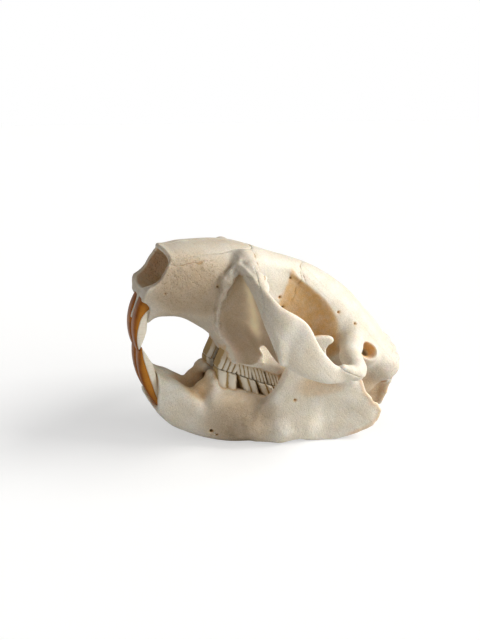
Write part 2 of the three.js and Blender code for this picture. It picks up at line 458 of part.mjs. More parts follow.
// Thins a closed mesh to a number of triangles by collapsing the edges that change it least.
function thin({ positions, triangles }, target) {
  const points = [];
  for (let i = 0; i < positions.length; i += 3) points.push(new THREE.Vector3(...positions.slice(i, i + 3)));
  const faces = [];
  for (let i = 0; i < triangles.length; i += 3) faces.push(triangles.slice(i, i + 3));
  const around = points.map(() => new Set());
  const planes = points.map(() => new Float64Array(10));
  const normalOf = ([a, b, c]) => b.clone().sub(a).cross(c.clone().sub(a));
  faces.forEach((ids, f) => {
    const corners = ids.map((id) => points[id]);
    const normal = normalOf(corners);
    const area = normal.length();
    if (area > 0) normal.divideScalar(area);
    const [a, b, c, d] = [normal.x, normal.y, normal.z, -normal.dot(corners[0])];
    const terms = [a * a, a * b, a * c, a * d, b * b, b * c, b * d, c * c, c * d, d * d];
    for (const id of ids) {
      around[id].add(f);
      terms.forEach((term, i) => { planes[id][i] += term * area; });
    }
  });
  const error = (q, { x, y, z }) => q[0] * x * x + 2 * q[1] * x * y + 2 * q[2] * x * z + 2 * q[3] * x
    + q[4] * y * y + 2 * q[5] * y * z + 2 * q[6] * y + q[7] * z * z + 2 * q[8] * z + q[9];
  const best = (a, b) => {
    const q = planes[a].map((value, i) => value + planes[b][i]);
    const middle = points[a].clone().add(points[b]).multiplyScalar(0.5);
    const span = points[a].distanceTo(points[b]);
    const matrix = new THREE.Matrix3().set(q[0], q[1], q[2], q[1], q[4], q[5], q[2], q[5], q[7]);
    const choices = [middle, points[a], points[b]];
    if (Math.abs(matrix.determinant()) > 1e-4) {
      const solved = new THREE.Vector3(-q[3], -q[6], -q[8]).applyMatrix3(matrix.invert());
      if (solved.distanceTo(middle) < 1.5 * span) choices.push(solved);
    }
    const costs = choices.map((point) => error(q, point));
    const pick = costs.indexOf(Math.min(...costs));
    return [Math.max(costs[pick], 0) + 1e-4 * span * span, choices[pick].clone()];
  };
  const stamp = new Int32Array(points.length);
  const queue = new Queue();
  const offer = (a, b) => {
    const [cost, point] = best(a, b);
    queue.push([cost, a, b, stamp[a], stamp[b], point]);
  };
  const neighbours = (a) => new Set([...around[a]].flatMap((f) => faces[f]).filter((id) => id !== a));
  const turnsOver = (f, moved, point) => {
    const before = normalOf(faces[f].map((id) => points[id]));
    const after = normalOf(faces[f].map((id) => (moved.includes(id) ? point : points[id])));
    return before.dot(after) < 0.15 * before.length() * after.length() || after.length() < 1e-3;
  };
  for (const ids of faces) {
    ids.forEach((a, i) => { if (a < ids[(i + 1) % 3]) offer(a, ids[(i + 1) % 3]); });
  }
  let left = faces.length;
  while (left > target && queue.items.length > 0) {
    const [, a, b, stampA, stampB, point] = queue.pop();
    if (!around[a] || !around[b] || stampA !== stamp[a] || stampB !== stamp[b]) continue;
    const shared = [...around[a]].filter((f) => around[b].has(f));
    const ring = neighbours(b);
    const common3 = [...neighbours(a)].filter((id) => ring.has(id));
    if (shared.length !== 2 || common3.length !== 2) continue;
    if (common3.some((id) => around[id].size <= 3)) continue;
    const kept = [...around[a], ...around[b]].filter((f) => !shared.includes(f));
    if (kept.some((f) => turnsOver(f, [a, b], point))) continue;
    for (const f of shared) {
      faces[f].forEach((id) => around[id].delete(f));
      faces[f] = null;
    }
    left -= 2;
    for (const f of around[b]) {
      faces[f] = faces[f].map((id) => (id === b ? a : id));
      around[a].add(f);
    }
    around[b] = null;
    points[a] = point;
    planes[b].forEach((value, i) => { planes[a][i] += value; });
    stamp[a] += 1;
    for (const id of neighbours(a)) offer(a, id);
  }
  const kept = faces.filter(Boolean);
  const ids = new Map();
  const vertices = [];
  for (const id of kept.flat()) {
    if (ids.has(id)) continue;
    ids.set(id, ids.size);
    vertices.push(...points[id].toArray());
  }
  return { positions: vertices, triangles: kept.flat().map((id) => ids.get(id)) };
}

// ---- assembly ------------------------------------------------------------------------------------
const pitch = new THREE.Matrix4().makeRotationX(-PITCH);
const mirror = new THREE.Matrix4().makeScale(-1, 1, 1);

function solidFrom(geometry) {
  const bare = geometry.clone();
  bare.deleteAttribute('normal');
  bare.deleteAttribute('uv');
  const merged = mergeVertices(bare, 1e-4);
  const vertProperties = new Float32Array(merged.attributes.position.array);
  const triVerts = new Uint32Array(merged.index.array);
  return new wasm.Manifold(new wasm.Mesh({ numProp: 3, vertProperties, triVerts }));
}

function geometryOf({ positions, triangles }) {
  const geometry = new THREE.BufferGeometry();
  geometry.setAttribute('position', new THREE.Float32BufferAttribute(positions, 3));
  geometry.setIndex(triangles);
  return geometry;
}

function solidOf(shape, low, high, step, faces) {
  return solidFrom(geometryOf(thin(march(shape, low, high, step), faces)));
}

function geometryFrom(solid) {
  const { vertProperties, triVerts } = solid.getMesh();
  return geometryOf({ positions: [...vertProperties], triangles: [...triVerts] });
}

// The same solid moved by a matrix; a mirroring matrix also turns the triangles over.
function moved(solid, matrix) {
  const geometry = geometryFrom(solid).applyMatrix4(matrix);
  if (matrix.determinant() < 0) geometry.setIndex([...geometry.index.array].reverse());
  return solidFrom(geometry);
}

// A prism from an outline in the (s, t) plane that runs from x = near to x = far.
function sideways(points, near, far) {
  const shape = new THREE.Shape(points.map(([s, t]) => new THREE.Vector2(s, t)));
  const prism = new THREE.ExtrudeGeometry(shape, { depth: far - near, bevelEnabled: false });
  const axes = new THREE.Matrix4().set(0, 0, 1, near, 1, 0, 0, 0, 0, 1, 0, 0, 0, 0, 0, 1);
  return solidFrom(prism.applyMatrix4(axes));
}

// A prism from an outline in the (x, s) plane that runs from t = low to t = high.
function upwards(points, low, high) {
  const shape = new THREE.Shape(points.map(([x, s]) => new THREE.Vector2(x, s)));
  const prism = new THREE.ExtrudeGeometry(shape, { depth: high - low, bevelEnabled: false });
  return solidFrom(prism.translate(0, 0, low));
}

// One cheek tooth: a column whose cheek side is folded into ribs and whose tongue side has one groove.
function cheekTooth(place, size, ribs, low, high) {
  const points = [];
  for (let i = 0; i <= 4 * ribs; i += 1) {
    const u = i / (4 * ribs);
    const fold = Math.abs(Math.sin(Math.PI * ribs * u)) ** 0.6;
    const corner = 1 - (2 * u - 1) ** 4;
    points.push([size.wide * (0.36 + 0.1 * fold + 0.04 * corner), size.long * (u - 0.5)]);
  }
  const tongueSide = [[0, 0.5], [-0.42, 0.4], [-0.5, 0.14], [-0.38, 0], [-0.5, -0.14], [-0.42, -0.4],
    [0, -0.5]];
  points.push(...tongueSide.map(([x, s]) => [x * size.wide, s * size.long]));
  return upwards(points.map(([x, s]) => [x + place.x, s + place.s]), low, high);
}

const ROW_START = -27.6;
const ROW_GAP = 0.35;
const upperTeeth = [[9.2, 9.4], [8.6, 7.8], [8.2, 7.3], [7.6, 6.8]]; // width and length, from the front
const lowerTeeth = [[8.8, 10], [8.6, 8.4], [8.4, 8.2], [7.8, 7.4]];

function cheekTeeth(sizes, row) {
  let start = ROW_START + row.setBack;
  return sizes.map(([wide, long]) => {
    const s = start + long / 2;
    start += long + ROW_GAP;
    return cheekTooth({ x: row.x(s), s }, { wide, long }, row.ribs, row.low, row.high);
  });
}

const upperRowX = track([[-30, 7.4], [2, 13.4]]); // the rows draw apart towards the back
const lowerRowX = track([[-30, 8.2], [4, 15.2]]);
const upperRow = { x: upperRowX, ribs: 4, low: OCCLUSAL_T + GAP / 2, high: 37, setBack: 0 };
const lowerRow = { x: lowerRowX, ribs: 2, low: 12, high: OCCLUSAL_T - GAP / 2, setBack: 0.6 };

function join(solids) {
  return solids.reduce((whole, solid) => whole.add(solid));
}

const nasalSide = track([[-68, 5], [-60, 7], [-55, 7.4], [-48, 7.4], [-41, 6.8], [-35, 6.2]]);

// The nasals, as the space above a curve that follows the roof of the muzzle; grow widens the cut.
function nasalSpace(grow) {
  const under = [];
  for (let s = -76; s <= -28; s += 6) under.push([s, roofTop(s) - nasalSide(s) - grow]);
  const above = sideways([...under, [-28, 92], [-76, 92]], -14, 14);
  const [wide, waist, end] = [12.4 + grow, 8.4 + grow, -29.4 + grow];
  const plan = upwards([[-wide, -77], [wide, -77], [wide, -48], [waist, -33], [waist - 3.4, end - 0.8],
  [0, end],
    [3.4 - waist, end - 0.8], [-waist, -33], [-wide, -48]], 40, 93);
  return above.intersect(plan);
}

// The left jugal, as the space behind the zygomatic plate's outer edge and under the squamosal.
function jugalSpace(grow) {
  const side = sideways([[-35.4 - grow, 76], [-33.8 - grow, 69.5], [-31.2 - grow, 65], [-29.4 - grow, 59.8],
    [-28.2 - grow, 55.4], [-25.6 - grow, 50.4], [-22.4 - grow, 45], [-19 - grow, 36], [28, 36],
    [28, 47 + grow], [22.6, 47.3 + grow], [16.6, 47.7 + grow], [9.8, 48.6 + grow], [5.3, 50.4 + grow],
    [2.6 + grow, 53 + grow], [2 + grow, 76]], 30 - grow, 60);
  const inner = [];
  for (let s = 30; s >= -36; s -= 6) inner.push([archOut(s) - 7.4 - grow, s]);
  return side.intersect(upwards([[60, -36], [60, 30], ...inner], 30, 80));
}

const leftHalf = (grow) => upwards([[grow, -90], [70, -90], [70, 90], [grow, 90]], -40, 100);

const cranium = solidOf((x, s, t) => craniumSide(Math.abs(x), s, t), [-53, -76, 24], [53, 68, 87],
  GRID_CRANIUM, FACES_CRANIUM);
const upperTooth = solidOf(upperIncisor, [-1, -74, 18], [10, -60, 51], GRID_TOOTH, FACES_INCISOR);
const upperSocket = solidOf((x, s, t) => upperIncisor(x, s, t) - TOOTH_GAP, [-1, -74, 18], [10, -60, 52],
  GRID_TOOTH, FACES_INCISOR);
const lowerTooth = solidOf(lowerIncisor, [-1, -68, -8], [10, -38, 29], GRID_TOOTH, FACES_INCISOR);
const lowerSocket = solidOf((x, s, t) => lowerIncisor(x, s, t) - TOOTH_GAP, [-1, -68, -8], [10, -38, 29],
  GRID_TOOTH, FACES_INCISOR);
const jaw = solidOf(jawSide, [-1, -53, -3], [42, 60, 54], GRID_JAW, FACES_JAW);

const upperRowLeft = join(cheekTeeth(upperTeeth, upperRow));
const craniumBones = cranium
  .subtract(upperSocket)
  .subtract(moved(upperSocket, mirror))
  .subtract(nasalSpace(GAP))
  .subtract(jugalSpace(GAP))
  .subtract(moved(jugalSpace(GAP), mirror))
  .add(upperRowLeft)
  .add(moved(upperRowLeft, mirror));
const nasals = cranium.intersect(nasalSpace(0));
const nasalLeft = nasals.intersect(leftHalf(GAP / 2));
const nasalRight = nasals.intersect(moved(leftHalf(GAP / 2), mirror));
const jugalLeft = cranium.intersect(jugalSpace(0));
const jugalRight = cranium.intersect(moved(jugalSpace(0), mirror));

const floor = solidFrom(new THREE.BoxGeometry(200, 200, 20).translate(0, 0, -10));
const jawLeft = jaw
  .subtract(moved(lowerSocket, pitch))
  .add(moved(join(cheekTeeth(lowerTeeth, lowerRow)), pitch))
  .subtract(floor);

const bone = new THREE.MeshStandardMaterial(BONE);
const enamel = new THREE.MeshStandardMaterial(ENAMEL);

function piece(name, solid, material) {
  const mesh = new THREE.Mesh(geometryFrom(solid), material);
  mesh.name = name;
  return mesh;
}

const head = new THREE.Group();
head.rotation.x = -PITCH;
head.add(
  piece('cranium', craniumBones, bone),
  piece('nasal_left', nasalLeft, bone),
  piece('nasal_right', nasalRight, bone),
  piece('jugal_left', jugalLeft, bone),
  piece('jugal_right', jugalRight, bone),
  piece('upper_incisor_left', upperTooth, enamel),
  piece('upper_incisor_right', moved(upperTooth, mirror), enamel),
);

const lowerJaw = new THREE.Group();
lowerJaw.add(
  piece('mandible_left', jawLeft, bone),
  piece('mandible_right', moved(jawLeft, mirror), bone),
  piece('lower_incisor_left', moved(lowerTooth, pitch), enamel),
  piece('lower_incisor_right', moved(moved(lowerTooth, pitch), mirror), enamel),
);

const skull = new THREE.Group();
skull.position.y = -MID_Y;
skull.add(head, lowerJaw);

export default skull;
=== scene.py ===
"""A cleaned beaver skull with its jaw closed, finished as dry bone, orange enamel and cream dentine.

Every bone is worked out as an implicit solid: a function that is negative inside the bone, sampled on
a block of points and meshed where it is zero. Shapes are in millimetres. The cranium has a frame of
its own, (x, s, t): s runs back along the tooth row and t stands square to it, and the whole frame is
pitched nose up. The lower jaw is shaped in the upright frame, (x, y, z).
"""
import math

import bpy
import numpy as np
import openvdb
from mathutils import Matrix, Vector


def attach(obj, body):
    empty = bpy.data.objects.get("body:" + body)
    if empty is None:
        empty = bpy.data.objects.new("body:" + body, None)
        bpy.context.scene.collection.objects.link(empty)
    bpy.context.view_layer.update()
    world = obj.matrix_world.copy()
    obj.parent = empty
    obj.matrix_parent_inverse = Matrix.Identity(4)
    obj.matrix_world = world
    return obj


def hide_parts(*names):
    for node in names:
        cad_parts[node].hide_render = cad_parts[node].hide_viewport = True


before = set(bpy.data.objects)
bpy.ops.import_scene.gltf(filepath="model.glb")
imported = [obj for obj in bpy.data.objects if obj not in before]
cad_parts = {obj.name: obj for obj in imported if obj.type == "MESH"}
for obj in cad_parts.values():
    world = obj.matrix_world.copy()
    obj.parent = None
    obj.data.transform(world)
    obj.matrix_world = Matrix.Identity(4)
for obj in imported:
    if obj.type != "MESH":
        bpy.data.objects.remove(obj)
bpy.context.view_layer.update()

# ---- sizes, in millimetres ------------------------------------------------------------------------
PITCH = math.radians(22.5)      # the tooth row slopes down towards the back
MID_Y = 13.1                    # middle of the skull's length, which the frame has at y = 0
SEAM = 0.02                     # half of the hairline that is left between two pieces
NASAL_LAP = 0.1                 # how far the nasals and jugals sink into the cranium, to close their sutures
JUGAL_LAP = 0.35
JAW_CLEARANCE = 0.8             # air between the lower jaw and the cranium
OCCLUSAL_T = 25.6               # chewing surface, in the cranium's frame
UPPER_ALVEOLAR_T = 30.6         # edge of the bone round the upper cheek teeth
CRANIUM_STEP = 0.55             # spacing of the sample points
JAW_STEP = 0.5
TOOTH_STEP = 0.24
MOST_TRIANGLES = 190000         # in one piece
MM = 0.001

# ---- camera, before the pieces ----------------------------------------------------------------------
CAMERA_AZIMUTH = math.radians(68)
CAMERA_HEIGHT = math.radians(19)
CAMERA_DISTANCE = 300.0
AIM = (0.0, -MID_Y, 52.0)
FOCAL_LENGTH = 36.0             # the same as the sensor, so the picture is as tall as it is far
SENSOR = 36.0
FLOOR_REACH = 4.0               # metres from the middle to each edge of the paper


def union(a, b, blend):
    h = np.maximum(blend - np.abs(a - b), 0) / blend
    return np.minimum(a, b) - h * h * blend / 4


def common(a, b, blend):
    return -union(-a, -b, blend)


def carve(a, b, blend):
    return common(a, -b, blend)


def mix(a, b, u):
    return a + (b - a) * u


def track(*stations):
    """A smooth curve through (place, value) stations, flat beyond both ends."""
    places = np.array([place for place, value in stations], np.float32)
    values = np.array([value for place, value in stations], np.float32)
    slopes = np.zeros_like(values)
    slopes[1:-1] = (values[2:] - values[:-2]) / (places[2:] - places[:-2])

    def curve(place):
        place = np.clip(np.asarray(place, np.float32), places[0], places[-1])
        i = np.clip(np.searchsorted(places, place, side="right") - 1, 0, len(places) - 2)
        span = places[i + 1] - places[i]
        u = (place - places[i]) / span
        near = (1 + 2 * u) * (1 - u) ** 2 * values[i] + u * (1 - u) ** 2 * span * slopes[i]
        return near + u * u * (3 - 2 * u) * values[i + 1] - u * u * (1 - u) * span * slopes[i + 1]

    return curve


def oval(p, q, a, b, power):
    """Distance to an oval with half axes a and b, squarer as the power rises."""
    u = np.abs(p) / a
    v = np.abs(q) / b
    rho = np.maximum((u ** power + v ** power) ** (1 / power), 1e-6)
    steep = np.hypot((u / rho) ** (power - 1) / a, (v / rho) ** (power - 1) / b)
    return (rho - 1) / np.maximum(steep, 1e-6)


def ellipsoid(x, y, z, centre, radii):
    p, q, r = (x - centre[0], y - centre[1], z - centre[2])
    a, b, c = radii
    k0 = np.sqrt((p / a) ** 2 + (q / b) ** 2 + (r / c) ** 2)
    k1 = np.sqrt((p / a ** 2) ** 2 + (q / b ** 2) ** 2 + (r / c ** 2) ** 2)
    return k0 * (k0 - 1) / np.maximum(k1, 1e-6)


def rods(x, y, z, joints, blend=1.5):
    """A chain of round rods, each joint given as (x, y, z, radius)."""
    best = None
    for a, b in zip(joints, joints[1:]):
        d = [b[i] - a[i] for i in range(3)]
        along = (x - a[0]) * d[0] + (y - a[1]) * d[1] + (z - a[2]) * d[2]
        h = np.clip(along / (d[0] ** 2 + d[1] ** 2 + d[2] ** 2), 0, 1)
        off = (x - a[0] - d[0] * h, y - a[1] - d[1] * h, z - a[2] - d[2] * h)
        gap = np.sqrt(off[0] ** 2 + off[1] ** 2 + off[2] ** 2)
        rod = gap - mix(a[3], b[3], h)
        best = rod if best is None else union(best, rod, blend)
    return best


def off_stretch(p, q, start, end):
    """Distance in a plane to the straight stretch between two points."""
    (ax, ay), (bx, by) = start, end
    h = np.clip(((p - ax) * (bx - ax) + (q - ay) * (by - ay)) / ((bx - ax) ** 2 + (by - ay) ** 2), 0, 1)
    return np.hypot(p - ax - (bx - ax) * h, q - ay - (by - ay) * h)


def outline(p, q, points):
    """Signed distance to a closed outline in a plane."""
    nearest = np.full(np.broadcast(p, q).shape, 1e9, np.float32)
    inside = np.zeros(nearest.shape, bool)
    for (ax, ay), (bx, by) in zip(points[-1:] + points[:-1], points):
        nearest = np.minimum(nearest, off_stretch(p, q, (ax, ay), (bx, by)))
        if ay != by:
            inside ^= ((ay > q) != (by > q)) & (p < (bx - ax) * (q - ay) / (by - ay) + ax)
    return np.where(inside, -nearest, nearest)


# ---- cranium: both sides are alike, so x is the distance from the middle plane ------------------------
roof_top = track((-70, 69.4), (-60, 73.9), (-50, 77.9), (-40, 80.9), (-30, 82), (-18, 82.4), (-6, 83.1),
                 (6, 82.9), (16, 81.2), (26, 78.4), (36, 74), (46, 69.2), (58, 62.6))
roof_mid = track((-70, 57.5), (-60, 58), (-50, 61), (-40, 64), (-30, 68), (-20, 69.5), (-10, 69), (0, 66),
                 (10, 62.5), (20, 60), (30, 57.5), (40, 55), (50, 52.5), (58, 50))
roof_low = track((-70, 47), (-60, 44), (-50, 46), (-40, 46), (-30, 49), (-20, 51), (-10, 50), (0, 46),
                 (10, 42), (20, 38.5), (30, 38), (40, 38.5), (50, 40), (58, 42))
roof_wide = track((-70, 12.8), (-60, 16), (-50, 18), (-42, 18.8), (-34, 17.5), (-26, 15), (-18, 13.8),
                  (-10, 13.8), (0, 15.8), (10, 19.8), (20, 23.2), (30, 25), (40, 25.5), (50, 24), (60, 19))
# The wall of the eye socket, narrowest where the tan bone begins.
socket_wall = track((-36, 14.6), (-28, 14.2), (-20, 13.4), (-10, 11.4), (0, 12.3), (8, 13.6), (16, 15))
# The edge where the braincase turns in to the eye socket: its place and half width at height t.
fossa_rim = track((44, 25), (52.8, 21.7), (57.6, 16.7), (65.3, 11.4), (71.5, 5.7), (74.6, -0.3), (78, -8))
fossa_rim_x = track((52.8, 24.5), (57.6, 22), (65.3, 18.6), (71.5, 16.6), (74.6, 15), (78, 13))
# The front rim of the nose opening, from the roof of the incisor socket up to the nasals.
nose_rim = track((42, -70.8), (46, -71), (49, -71.7), (51, -72), (52.6, -71.3), (54.6, -69.6), (57.5, -68.2),
                 (61, -67.6), (66, -66.7), (69, -66.9), (76, -67.4))
passage_wide = track((-72, 11.6), (-68, 12.4), (-62, 13.2), (-54, 11.8), (-44, 10))
upper_jaw_low = track((-73, 35.6), (-64.6, 35.6), (-62.8, 38), (-60.5, 40.4), (-58, 41.8), (-54, 43),
                      (-49, 43.2), (-44, 42), (-39, 40.4), (-34, 38.6), (-29.4, 36.2), (-26, 32.8),
                      (-23.6, UPPER_ALVEOLAR_T), (8, UPPER_ALVEOLAR_T))
upper_jaw_high = track((-70, 54), (-60, 58), (-45, 62), (-30, 64), (-18, 61), (-6, 56), (8, 53))
upper_jaw_wide = track((-70, 9.9), (-64, 9.9), (-60, 9.6), (-50, 10.2), (-40, 11.2), (-33, 13), (-27, 15.4),
                       (-18, 16.4), (-8, 17.6), (2, 18.6), (8, 17))
# The edge of the upper incisor's socket arches over the enamel and runs down behind it.
socket_arch = track((0, 35.4), (0.6, 36.4), (2, 39.4), (3.5, 41.8), (5, 43.2), (7.4, 45), (9, 45.4),
                    (14, 45.6))
socket_back = track((34, -64.7), (36, -65), (39.5, -65.7), (42.8, -66.5), (44.4, -67.5), (45.6, -69.2))

# Cheek arch: the outer face in plan, and the upper and lower borders of the jugal leaf.
arch_out = track((-46, 17), (-41, 22), (-37, 29.3), (-33.7, 34), (-30, 38), (-26, 42), (-22, 44.4),
                 (-17, 45.6), (-12, 47.4), (-4, 49), (3, 49.6), (9, 49), (15, 47.8), (20, 46), (26, 42))
arch_top = track((-41, 75.4), (-36.6, 73.2), (-34.8, 71.4), (-32.4, 70.2), (-30.2, 69), (-27.4, 67),
                 (-24.9, 65.6), (-21, 64.8), (-17.7, 64.2), (-13.4, 62.7), (-9.5, 59.7), (-7.4, 57.7),
                 (-4.2, 55), (1, 51.9), (5, 50.1), (9.8, 48.6), (16.6, 47.9), (24, 47.4))
arch_low = track((-41, 72.6), (-36.8, 69.6), (-33.7, 65.5), (-30, 60), (-26.3, 54), (-22.3, 48.6),
                 (-19.7, 45.6), (-18, 44.2), (-15.1, 42.7), (-10, 41.6), (-6.1, 41.1), (0, 40.9), (4.8, 41.1),
                 (8, 41.8), (11.3, 42.8), (14, 44.2), (16.7, 45.4), (20, 46), (24, 46.4))
arch_thick = track((-41, 3.2), (-30, 2.6), (-20, 2.2), (0, 2.1), (14, 2), (24, 1.9))

# Zygomatic plate: where its face meets the muzzle and where it meets the jugal, at height t.
PLATE_IN_X = 17
plate_in_s = track((32, -23), (35, -24.5), (38.2, -28.4), (41.9, -34), (46, -37.3), (52.1, -39.8),
                   (58.2, -40.6), (64.2, -41), (68, -42), (71.2, -41.4), (75, -40))
plate_out_x = track((41, 44.6), (48, 44.3), (52.3, 43.6), (56.6, 41), (61.6, 37), (67.2, 32), (69.6, 29.2),
                    (71.4, 26.4), (72.8, 23.5), (75, 20))
plate_out_s = track((41, -17.5), (45.6, -19.7), (52.3, -23), (56.6, -26.1), (61.6, -30.4), (67.2, -33.8),
                    (69.6, -35.4), (72.3, -37.7), (75, -41))
plate_hollow = track((40, 3), (46, 5.6), (54, 7), (62, 6), (67, 4.6), (70, 3), (73, 0.8), (75, 0))
plate_low_hollow = track((34, 11), (40, 11), (44, 8), (49, 3), (54, 0))
low_hollow_shape = track((0, 0), (0.07, 0.5), (0.17, 1), (0.33, 0.66), (0.5, 0.34), (0.72, 0.1), (1, 0))
plate_thick = track((34, 1.2), (42, 1.3), (48, 1.5), (60, 1.9), (67, 3.4), (73, 6.6))
plate_low = track((15, 30.8), (17.6, 31.8), (19.6, 35), (21, 38.6), (24, 41.6), (28, 44.8), (30.5, 45.8),
                  (33, 45.2), (36, 44), (40, 43), (44, 42.6), (46, 42.6))

CREST = [(0, 56, 62.2, 1.5), (9, 56.6, 61, 1.5), (17, 55.6, 58.8, 1.6), (24, 53.6, 56, 1.7),
         (28.5, 51, 52.4, 1.8), (29.5, 48.6, 48.6, 1.8)]
SQUAMOSAL_ROOT = [(21, 27.5, 60, 7), (29, 23.6, 55.8, 4.6), (34, 20.8, 52.8, 4), (38, 21.2, 51, 3.9),
                  (42, 21.4, 49.6, 3.3), (45, 18.6, 48.9, 2.3), (47, 14, 49.4, 1.4), (48.2, 9.5, 50.4, 0.9)]
# The edge of the bone round the upper cheek teeth, on the cheek side and on the tongue side.
UPPER_ALVEOLUS = [[(9.6, -21.4, 36.3, 5.3), (12, -15, 36.2, 5.4), (15, -2, 35.8, 5.2)],
                  [(6, -21.6, 35.4, 3.8), (8, -12, 35.2, 4), (10, -2, 35, 4)]]
EAR_TUBE = [(15, 39, 43, 6), (27, 34.8, 54.6, 5.6)]
PAROCCIPITAL = [(25, 50.5, 49.4, 4.4), (23, 55.8, 44.4, 1.9), (20.6, 58.8, 37.4, 1.5),
                (18.6, 60.6, 31.4, 1.2)]
PAROCCIPITAL_WEB = [(50, 48), (57, 46.4), (59.6, 40), (61.8, 31), (58, 29.8), (52, 32), (48, 38)]
PTERYGOID = [(7, 6, 40, 3), (7.5, 14, 37, 2), (8, 19, 33, 1.4), (10, 24, 35, 1.2)]
ARCH_ROOT = [(14.5, -36, 76.6, 4.6), (22, -35.4, 74.2, 3.2), (27.5, -33.6, 71.6, 2.4),
             (33, -31.6, 68.6, 1.8)]
# A knobby ridge of bone along the muzzle's side, in front of the plate.
KNOBBY_RIDGE = [(19.4, -40.4, 72.6, 2.2), (19.6, -42.4, 66.6, 2.7), (18.8, -42, 60, 1.6),
                (17.4, -40.4, 52.4, 0.9), (16.8, -38, 46.4, 0.7), (16, -33.6, 41.4, 0.5)]
EAR_OPENING = ((32.6, 32.6, 57), (7.4, 4, 3.8))
# Small holes for vessels and nerves, each a rod from the surface inwards.
FORAMINA = [[(16, -9.3, 76, 0.6), (9, -9, 75, 0.5)], [(15, -10.9, 66.1, 0.6), (8, -11, 65, 0.5)],
            [(15, -7.5, 62.1, 0.75), (8, -7, 61, 0.6)], [(15, -64.6, 52.7, 0.4), (12.8, -64.4, 52.6, 0.35)],
            [(24, 15.6, 69.7, 0.45), (17, 15.6, 67, 0.4)], [(26, 24.1, 66.7, 0.45), (18, 24, 64, 0.4)],
            [(21, -45.8, 63, 0.5), (15.4, -44.4, 62.2, 0.4)], [(28, 52.6, 47, 1.9), (23, 53.4, 46.6, 1.5)],
            [(28, 51.6, 43.4, 1.7), (23, 52.6, 43.6, 1.4)]]


def plate_face(x, t):
    """Where along s the hollow front of the zygomatic plate is."""
    u = np.clip((x - PLATE_IN_X) / (plate_out_x(t) - PLATE_IN_X), -0.2, 1.1)
    hollow = plate_hollow(t) * np.maximum(4 * u * (1 - u), 0) + plate_low_hollow(t) * low_hollow_shape(u)
    return mix(plate_in_s(t), plate_out_s(t), u) + hollow


def zygomatic_plate(x, s, t):
    across = plate_face(x + 0.5, t) - plate_face(x - 0.5, t)
    upwards = plate_face(x, t + 0.5) - plate_face(x, t - 0.5)
    lean = np.sqrt(1 + across ** 2 + upwards ** 2)
    slab = np.abs((s - plate_face(x, t)) / lean - plate_thick(t) / 2) - plate_thick(t) / 2
    in_plan = common(x - plate_out_x(t) - 0.5, PLATE_IN_X - 4 - x, 1)
    return common(common(slab, in_plan, 1), common(plate_low(x) - t, t - 77, 1), 1)


def jugal_leaf(x, s, t):
    half = (arch_top(s) - arch_low(s)) / 2
    middle = (arch_top(s) + arch_low(s)) / 2
    slope = (arch_out(s + 1) - arch_out(s - 1)) / 2
    thick = arch_thick(s)
    across = (x - arch_out(s)) / np.hypot(1, slope) + thick
    leaf = oval(across, t - middle, thick, half, 2.6)
    return common(leaf, np.abs(s + 8.5) - 33, 2)


def nose_passage(x, s, t):
    hole = common(oval(x, t - 59.2, passage_wide(s), 8.9, 2.5), t - roof_top(s) + 1.4, 1.5)
    return common(hole, s + 46 - 0.5 * (t - 57), 4)


def eye_socket(x, s, t):
    return s - fossa_rim(t) - 0.9 * (x - fossa_rim_x(t))


def paroccipital_web(x, s, t):
    """The thin wall of bone between the ear's bulb and the spur behind it."""
    return common(np.abs(x - 18.6 - 0.25 * (t - 36)) - 1.2, outline(s, t, PAROCCIPITAL_WEB), 1)


# What is added to the cranium and then cut out of it: the shape, its sizes and how softly it blends.
REAR_PARTS = [
    (ellipsoid, ((21.5, 46.5, 50.5), (9, 9, 9)), 5),            # the bulge behind the ear
    (rods, (CREST, 3), 4),                                      # the crest across the back
    (ellipsoid, ((16, 42.5, 41.2), (9.6, 11.4, 9.8)), 3),       # the ear's bulb
    *((rods, (side, 2), 3) for side in UPPER_ALVEOLUS),
    (rods, (EAR_TUBE,), 3),
    (rods, (PAROCCIPITAL,), 4),
    (paroccipital_web, (), 2),
    (ellipsoid, ((9.5, 59.6, 43), (4.6, 5.4, 6.6)), 3),         # the knob that meets the neck
    (ellipsoid, ((0, 32, 44), (9, 30, 6)), 5),                  # the skull base
    (rods, (PTERYGOID, 2), 3)]
OPENINGS = [
    (ellipsoid, ((36, 20.5, 42.4), (4.2, 13, 4.6)), 1.2),       # the socket of the jaw joint
    (ellipsoid, EAR_OPENING, 0.8),
    (rods, ([(29, 32.6, 56.2, 1.9), (25, 34.4, 53.6, 1.7)],), 0.6),     # the ear's inner opening
    (ellipsoid, ((39, 31, 49), (8, 5.4, 8.5)), 1),              # the notch under the ear
    (ellipsoid, ((0, 63, 50), (8.6, 12, 6.6)), 1),              # the foramen magnum
    (rods, ([(0, 8, 36, 3.6), (0, 30, 30, 5.2)],), 1.5),        # the throat side of the palate
    (ellipsoid, ((0, 44, 35.5), (5.4, 9, 6)), 1.5),             # the pit under the skull base
    (ellipsoid, ((0, -10, 29.4), (6.6, 26, 3.4)), 1.5),         # the vault of the palate
    (ellipsoid, ((15.5, -4, 60), (4.2, 6, 5.6)), 3),            # the hollow in the eye socket
    *((rods, (hole,), 0.5) for hole in FORAMINA)]


